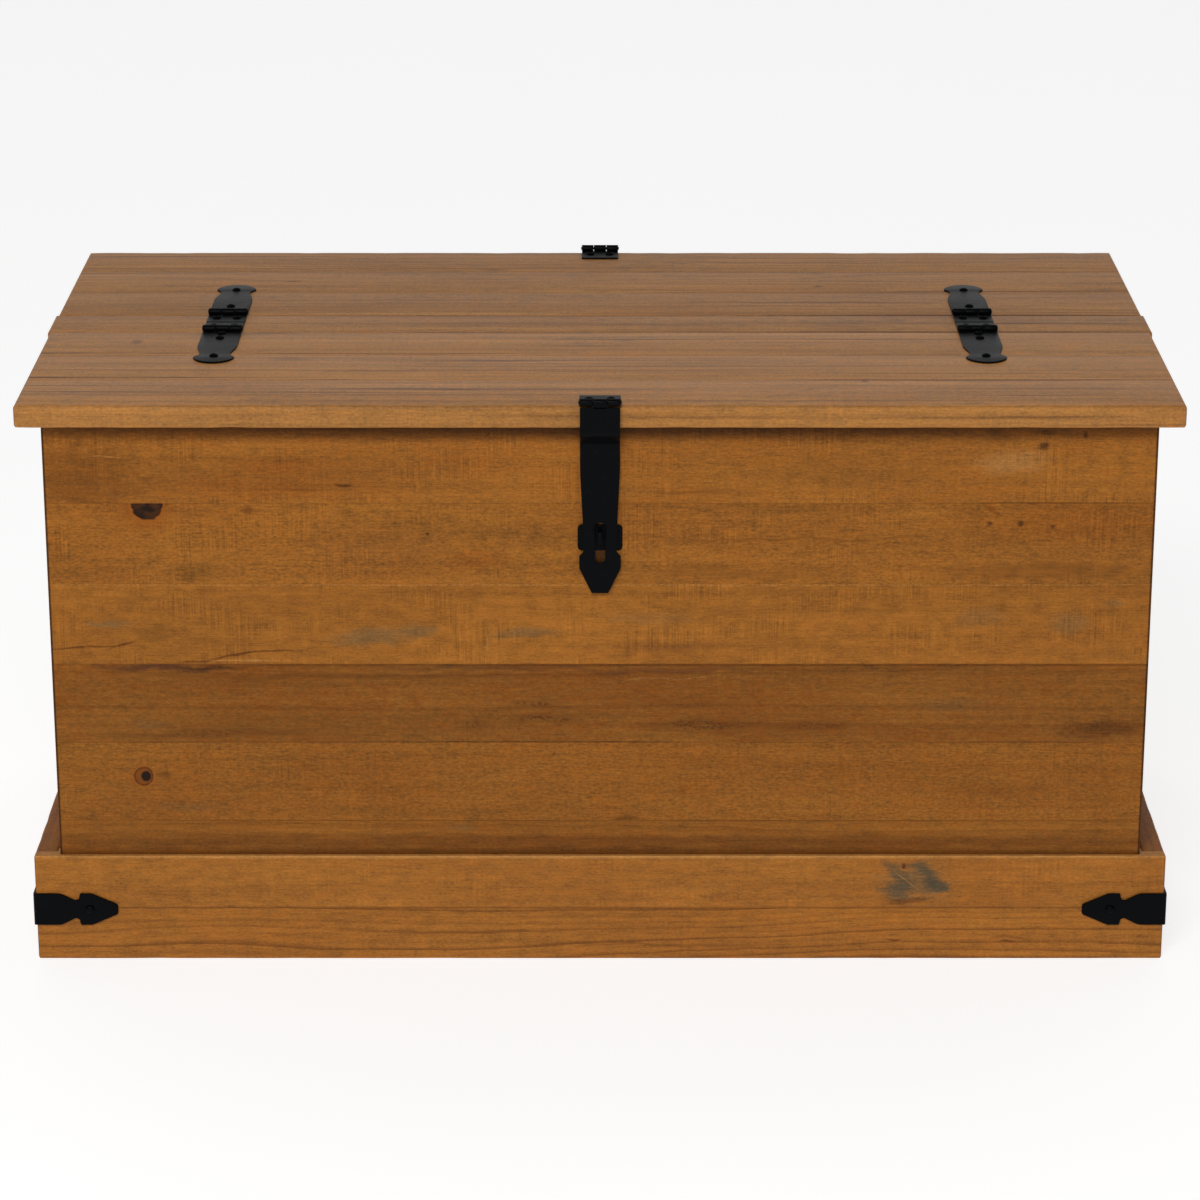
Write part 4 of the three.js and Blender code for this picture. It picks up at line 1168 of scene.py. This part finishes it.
def long_leaf_outline():
    """Barrel end, straight sides, a neck, two barbs and a bowed end."""
    half = LEAF_W / 2
    draw = (NECK_AT - LEAF_STRAIGHT) / 3
    bow = LONG_LEAF - BARB_AT
    right = [(half, LEAF_STRAIGHT)]
    right += bezier(right[-1], (half, LEAF_STRAIGHT + draw), (NECK, NECK_AT - draw), (NECK, NECK_AT))
    right += bezier(right[-1], (NECK, NECK_AT + MM), (BARB - 2 * MM, BARB_AT - 3 * MM), (BARB, BARB_AT), 6)
    right += bezier(right[-1], (BARB, BARB_AT + bow / 2), (BARB / 2, LONG_LEAF), (0, LONG_LEAF), 14)
    left = [(-u, v) for u, v in reversed(right[:-1])]
    return notched_start(half, own_middle=False) + right + left


def short_leaf_outline(length, own_middle):
    """Barrel end, straight sides and a square end."""
    half = LEAF_W / 2
    end = rounded([(half, CLEAR), (half, length, 1 * MM), (-half, length, 1 * MM), (-half, CLEAR)])[1:-1]
    return notched_start(half, own_middle) + end


def on_wood(x0, y0, axis_z, sign):
    """Places a leaf's (x, reach, through) on the wood beside the axis, reaching along sign * Y."""
    wood_z = axis_z - AXIS_H + IRON_T / 2
    return lambda u, v, t: (x0 + u, y0 + sign * v, wood_z + t)


def round_the_pin(x0, y0, axis_z, sign):
    """Places a rolled knuckle's (u, v, x) round the axis, its sheet leaving along sign * Y."""
    drop = AXIS_H - KNUCKLE_R
    return lambda u, v, t: (x0 + t, y0 + sign * u, axis_z + v - drop * min(1, max(0, u) / KNUCKLE_R))


def pin_piece(node, body):
    """A hinge pin with peened heads, about the middle of its CAD node."""
    low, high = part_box(node)
    middle = (low + high) / 2
    half = (high.x - low.x) / 2
    head, shank = 1.95 * MM, 1.1 * MM
    profile = [(0, -half), (head * 0.6, -half + 0.05 * MM), (head * 0.92, -half + 0.16 * MM),
               (head, -half + 0.34 * MM), (shank, -half + 0.36 * MM)]
    profile += [(radius, -along) for radius, along in reversed(profile)]
    geometry = moved(lathe(profile, 20), lambda u, v, t: (middle.x + t, middle.y + u, middle.z + v))
    settle(f"{node}_turned", mesh_of(geometry), IRON, body, [node])


# ---------------------------------------------------------------- screws

SCREW_R = 3.6 * MM
SCREW_H = 1.9 * MM


def screw_head():
    """A domed screw head with a crossed recess, standing on t = 0."""
    steps = 7
    profile = [(0, -0.3 * MM), (SCREW_R * 0.98, -0.3 * MM), (SCREW_R, 0)]
    for step in range(1, steps + 1):
        angle = math.pi / 2 * step / steps
        profile.append((SCREW_R * math.cos(angle), SCREW_H * math.sin(angle) ** 0.8))
    profile[-1] = (0, SCREW_H)
    piece = linked("screw", mesh_of(lathe(profile, 24)))
    arm, width, deep = 1.9 * MM, 0.42 * MM, 0.95 * MM
    for long_u, long_v in ((arm, width), (width, arm)):
        cut_box(piece, Vector((-long_u, -long_v, SCREW_H - deep)), Vector((long_u, long_v, SCREW_H + MM)))
    cut = piece.data
    bpy.data.objects.remove(piece)
    return cut


SCREW = screw_head()


def screws(name, places, wood_z, body, seed):
    """Screw heads on top of a leaf, each turned as it was driven, joined as one piece."""
    rng = random.Random(seed)
    whole = bmesh.new()
    for x, y in places:
        turn = rng.uniform(0, math.pi / 2)
        tilt = rng.uniform(-0.03, 0.03)
        cos, sin = math.cos(turn), math.sin(turn)
        part = SCREW.copy()
        for vertex in part.vertices:
            u, v, t = vertex.co
            vertex.co = (x + u * cos - v * sin, y + u * sin + v * cos, wood_z + IRON_T + t + tilt * u)
        whole.from_mesh(part)
        bpy.data.meshes.remove(part)
    settle(name, mesh_of(whole), SCREW_IRON_SHADED, body)


LONG_SCREWS = (10 * MM, 24 * MM, 79 * MM)
SHORT_SCREW_OUT = 14 * MM
SHORT_SCREW_X = 8.5 * MM


def strap_hinge(side_name, end_name):
    """One strap hinge: long leaf on the lid, short leaf on the rail, pin and screws."""
    side = SIDES[side_name]
    tag = f"{side_name}_{end_name}"
    low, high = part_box(f"hinge_pin_{tag}")
    x0 = (low.x + high.x) / 2
    _, y0, axis_z = JOINTS[f"{side_name}_lid_hinge"]["pos_m"]
    wood_z = axis_z - AXIS_H
    lid_body = f"{side_name}_lid_assembly"
    leaf = moved(plate([long_leaf_outline()], IRON_T), on_wood(x0, y0, axis_z, side))
    parts = [leaf] + knuckles(OUTERS, round_the_pin(x0, y0, axis_z, side))
    ironwork(f"long_leaf_{tag}", parts, lid_body, f"hinge_long_leaf_{tag}")
    leaf = moved(plate([short_leaf_outline(SHORT_LEAF, True)], IRON_T), on_wood(x0, y0, axis_z, -side))
    parts = [leaf] + knuckles(MIDDLE, round_the_pin(x0, y0, axis_z, -side))
    ironwork(f"short_leaf_{tag}", parts, "box", f"hinge_short_leaf_{tag}")
    pin_piece(f"hinge_pin_{tag}", "box")
    seed = 300 + 10 * side + ENDS[end_name]
    screws(f"long_leaf_screws_{tag}", [(x0, y0 + side * s) for s in LONG_SCREWS], wood_z, lid_body, seed)
    places = [(x0 + x, y0 - side * SHORT_SCREW_OUT) for x in (-SHORT_SCREW_X, SHORT_SCREW_X)]
    screws(f"short_leaf_screws_{tag}", places, wood_z, "box", seed + 4)


# ---------------------------------------------------------------- hasps

JOGGLE_TOP_Z = 450 * MM
JOGGLE_END_Z = 433 * MM
SLOT_LOW_Z = 338 * MM
SLOT_HIGH_Z = 371 * MM
SLOT_HALF = 4 * MM
STAPLE_GAP = 1.25 * MM
HASP_SCREW_OUT = 15 * MM


def strap_outline(axis_z, tip_z):
    """Front view of the strap, (x, z): nearly straight, then a notch and a spade."""
    inner = KNUCKLE_MID / 2
    right = [
        (inner, axis_z - 3 * MM),
        (inner, axis_z - CLEAR),
        (15.5 * MM, axis_z - CLEAR, 0.6 * MM),
        (15.5 * MM, 412 * MM, 60 * MM),
        (13.5 * MM, 372 * MM),
        (13 * MM, 347 * MM, 1.5 * MM),
        (16.25 * MM, 343.5 * MM, 2.5 * MM),
        (16.25 * MM, 333.5 * MM, 4 * MM),
        (6.5 * MM, tip_z, 1 * MM),
    ]
    left = [(-corner[0], *corner[1:]) for corner in reversed(right)]
    return rounded(right + left)


def slot_outline():
    """The long slot in the strap, (x, z)."""
    radius = SLOT_HALF - 0.25 * MM
    corners = [(-SLOT_HALF, SLOT_LOW_Z, radius), (SLOT_HALF, SLOT_LOW_Z, radius),
               (SLOT_HALF, SLOT_HIGH_Z, radius), (-SLOT_HALF, SLOT_HIGH_Z, radius)]
    return rounded(corners)


def strap(side_name):
    """The hasp's strap: down in front of the lid, in below it, and down along the panel."""
    side = SIDES[side_name]
    _, y0, axis_z = JOINTS[f"{side_name}_hasp_hinge"]["pos_m"]
    node = f"hasp_strap_{side_name}"
    tip_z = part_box(node)[0].z
    panel_face = abs(outer_y(f"{side_name}_panel", side))
    outer = abs(y0) + KNUCKLE_R - IRON_T / 2
    inner = panel_face + IRON_T + STAPLE_GAP + IRON_T / 2

    def centre(z):
        t = min(1, max(0, (JOGGLE_TOP_Z - z) / (JOGGLE_TOP_Z - JOGGLE_END_Z)))
        return outer + (inner - outer) * t * t * (3 - 2 * t)

    def bent(u, v, t):
        step = 0.1 * MM
        slope = (centre(v + step) - centre(v - step)) / (2 * step)
        length = math.hypot(1, slope)
        return u, side * (centre(v) + t / length), v - t * slope / length

    sheet = plate([strap_outline(axis_z, tip_z), slot_outline()], IRON_T)
    cuts = 14
    cross_cut(sheet, 1, [JOGGLE_END_Z + (JOGGLE_TOP_Z - JOGGLE_END_Z) * i / cuts for i in range(cuts + 1)])
    moved(sheet, bent)
    barrel = knuckles(MIDDLE, lambda u, v, t: (t, y0 - side * v, axis_z - u))
    ironwork(f"strap_{side_name}", [sheet] + barrel, f"{side_name}_strap", node)


def staple(side_name):
    """The plate on the panel with its loop standing through the strap's slot."""
    side = SIDES[side_name]
    node = f"hasp_staple_{side_name}"
    low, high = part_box(node)
    face = outer_y(f"{side_name}_panel", side)
    tip = abs(outer_y(node, side) - face)
    half = (high.x - low.x) / 2
    corners = [(-half, low.z, 3 * MM), (half, low.z, 3 * MM), (half, high.z, 3 * MM), (-half, high.z, 3 * MM)]
    sheet = plate([rounded(corners)], IRON_T)
    moved(sheet, lambda u, v, t: (u, face + side * (IRON_T / 2 + t), v))
    wire = 3.5 * MM
    loop_low, loop_high = 354.5 * MM, 366.5 * MM
    outside = rounded([(MM, loop_low), (tip, loop_low, 4 * MM), (tip, loop_high, 4 * MM), (MM, loop_high)], 7)
    eye = rounded([(IRON_T, loop_low + wire), (tip - wire, loop_low + wire, 2 * MM),
                   (tip - wire, loop_high - wire, 2 * MM), (IRON_T, loop_high - wire)], 7)
    loop = plate([outside, eye], wire, 0.9 * MM)
    moved(loop, lambda u, v, t: (t, face + side * u, v))
    ironwork(f"staple_{side_name}", [sheet, loop], "box", node)


def hasp(side_name):
    """Leaf on the lid, strap, pin, staple and screws."""
    side = SIDES[side_name]
    _, y0, axis_z = JOINTS[f"{side_name}_hasp_hinge"]["pos_m"]
    body = f"{side_name}_lid_assembly"
    leaf = moved(plate([short_leaf_outline(HASP_LEAF, False)], IRON_T), on_wood(0, y0, axis_z, -side))
    parts = [leaf] + knuckles(OUTERS, round_the_pin(0, y0, axis_z, -side))
    ironwork(f"hasp_top_leaf_{side_name}", parts, body, f"hasp_leaf_{side_name}")
    pin_piece(f"hasp_pin_{side_name}", body)
    places = [(x, y0 - side * HASP_SCREW_OUT) for x in (-SHORT_SCREW_X, SHORT_SCREW_X)]
    screws(f"hasp_screws_{side_name}", places, axis_z - AXIS_H, body, 350 + side)
    strap(side_name)
    staple(side_name)


# ---------------------------------------------------------------- corner braces

BRACE_ARM = 67 * MM
BRACE_H = 27 * MM
BRACE_Z = 44 * MM


def brace_outline():
    """A brace laid flat, (distance past the corner, height), the same arm both ways."""
    half = BRACE_H / 2
    waist = 7.5 * MM
    arm = [
        (21 * MM, half, 14 * MM),
        (32.5 * MM, waist, 2 * MM),
        (35.5 * MM, waist + 1 * MM, 1 * MM),
        (36.5 * MM, half, 1 * MM),
        (46 * MM, half, 5 * MM),
        (BRACE_ARM, 4 * MM, 2.5 * MM),
    ]
    lower = [(u, -v, r) for u, v, r in reversed(arm)]
    right = arm + lower
    left = [(-u, -v, r) for u, v, r in right]
    return rounded(right + left)


def brace(side_name, end_name):
    """A plinth corner brace: bent round the corner, with a domed nail in each arm."""
    side, end = SIDES[side_name], ENDS[end_name]
    tag = f"{side_name}_{end_name}"
    low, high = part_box(f"plinth_{side_name}")
    corner_y = outer_y(f"plinth_{side_name}", side)
    corner_x = high.x if end > 0 else low.x
    radius = BRACE_T / 2
    quarter = radius * math.pi / 2

    def bent(u, v, t):
        """u below 0 runs along the face, past 0 round the corner and along the end."""
        if u < -quarter / 2:
            out_x, out_y = u + quarter / 2, radius + t
        elif u > quarter / 2:
            out_x, out_y = radius + t, -(u - quarter / 2)
        else:
            angle = (u + quarter / 2) / radius
            out_x, out_y = (radius + t) * math.sin(angle), (radius + t) * math.cos(angle)
        return corner_x + end * out_x, corner_y + side * out_y, BRACE_Z + v

    sheet = plate([brace_outline()], BRACE_T)
    bends = 6
    cross_cut(sheet, 0, [quarter * (i / bends - 0.5) for i in range(bends + 1)])
    moved(sheet, bent)
    ironwork(f"brace_{tag}", [sheet], "box", f"corner_brace_{tag}")
    brace_nail(f"brace_nail_{tag}_face", (0, side, 0))
    brace_nail(f"brace_nail_{tag}_end", (end, 0, 0))


def brace_nail(node, outwards):
    """A hammered domed nail head, out along one axis from the brace."""
    low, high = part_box(node)
    axis = 0 if outwards[0] else 1
    sign = outwards[axis]
    top = high[axis] if sign > 0 else -low[axis]
    middle = (low + high) / 2
    dome, radius = 2.5 * MM, 3.85 * MM
    seat = top - dome
    steps = 6
    profile = [(0, seat - 10 * MM), (1.2 * MM, seat - 8 * MM), (1.2 * MM, seat), (radius - 0.2 * MM, seat)]
    for step in range(steps + 1):
        angle = math.pi / 2 * step / steps
        profile.append((radius * math.cos(angle), seat + 0.2 * MM + (dome - 0.2 * MM) * math.sin(angle)))
    profile[-1] = (0, top)
    geometry = lathe(profile, 18)
    for vertex in geometry.verts:
        dent = noise.noise(vertex.co * 420 + middle * 50)
        pull = 1 - 0.05 * max(0.0, dent)
        vertex.co.x *= pull
        vertex.co.y *= pull
    other = 1 - axis

    def place(u, v, t):
        point = [0, 0, middle.z + v]
        point[axis] = sign * t
        point[other] = middle[other] + u
        return point

    moved(geometry, place)
    settle(f"{node}_head", mesh_of(geometry), IRON, "box", [node])


# ---------------------------------------------------------------- stage

FLOOR_SIZE = 40.0
CAMERA_AT = (0.0, -3.209, 1.319)
CAMERA_PITCH = math.radians(18.77)
CAMERA_LENS = 120.0
WORLD_FRONT = 0.15
WORLD_BACK = 1.10
WORLD_HORIZON = 1.08
KEY_POWER = 88
KEY_AT = Vector((-0.6, -3.4, 3.0))
KEY_TARGET = Vector((0, 0, 0.25))
KEY_SIZE = (1.9, 0.9)
FLOOR_GLOW = 0.74


def camera():
    """The one camera, straight in front and looking a little down."""
    data = bpy.data.cameras.new("camera")
    data.lens = CAMERA_LENS
    data.sensor_width = 36.0
    eye = linked("camera", data)
    eye.location = CAMERA_AT
    eye.rotation_euler = (math.pi / 2 - CAMERA_PITCH, 0, 0)
    bpy.context.scene.camera = eye


def floor():
    """A pale floor that glows a little, so that it stays white under the soft light."""
    tree = Tree("floor")
    grain = tree.noise(tree.coordinates(), (3.0, 3.0, 3.0), 3.0)
    tree.put(tree.mix(grain, (0.42, 0.42, 0.42, 1), (0.44, 0.44, 0.44, 1)), tree.shader.inputs["Base Color"])
    tree.shader.inputs["Roughness"].default_value = 0.85
    tree.shader.inputs["Specular IOR Level"].default_value = 0.2
    tree.shader.inputs["Emission Color"].default_value = (1.0, 1.0, 1.0, 1.0)
    tree.shader.inputs["Emission Strength"].default_value = FLOOR_GLOW
    geometry = bmesh.new()
    bmesh.ops.create_grid(geometry, x_segments=1, y_segments=1, size=FLOOR_SIZE / 2)
    mesh = bpy.data.meshes.new("floor")
    geometry.to_mesh(mesh)
    geometry.free()
    mesh.materials.append(tree.material)
    ground = linked("floor", mesh)


def key_light():
    """A soft light high in front, turned to the chest."""
    data = bpy.data.lights.new("key", "AREA")
    data.shape = "RECTANGLE"
    data.size, data.size_y = KEY_SIZE
    data.energy = KEY_POWER
    light = linked("key", data)
    light.location = KEY_AT
    light.rotation_euler = (KEY_TARGET - KEY_AT).to_track_quat("-Z", "Y").to_euler()


def studio():
    """A pale room, brightest behind the chest and along the horizon."""
    tree = Sky("studio")
    _, y, z = tree.separate(tree.coordinates("Generated"))
    sky = tree.ramp(y, 0.0, 0.9, WORLD_FRONT, WORLD_BACK)
    low = tree.ramp(z, 0.03, 0.22, 1.0, 0.0)
    tree.put(sky + low * (WORLD_HORIZON - sky), tree.shader.inputs["Strength"])
    bpy.context.scene.world = tree.world
    key_light()
    bpy.context.scene.view_settings.view_transform = "Standard"


# ---------------------------------------------------------------- everything

camera()
for side_name in SIDES:
    face_panel(side_name)
    plinth_face(side_name)
    lid(side_name)
    for end_name in ENDS:
        strap_hinge(side_name, end_name)
        brace(side_name, end_name)
    hasp(side_name)
for end_name in ENDS:
    end_panel(end_name)
    plinth_end(end_name)
rail()
inside()
floor()
studio()
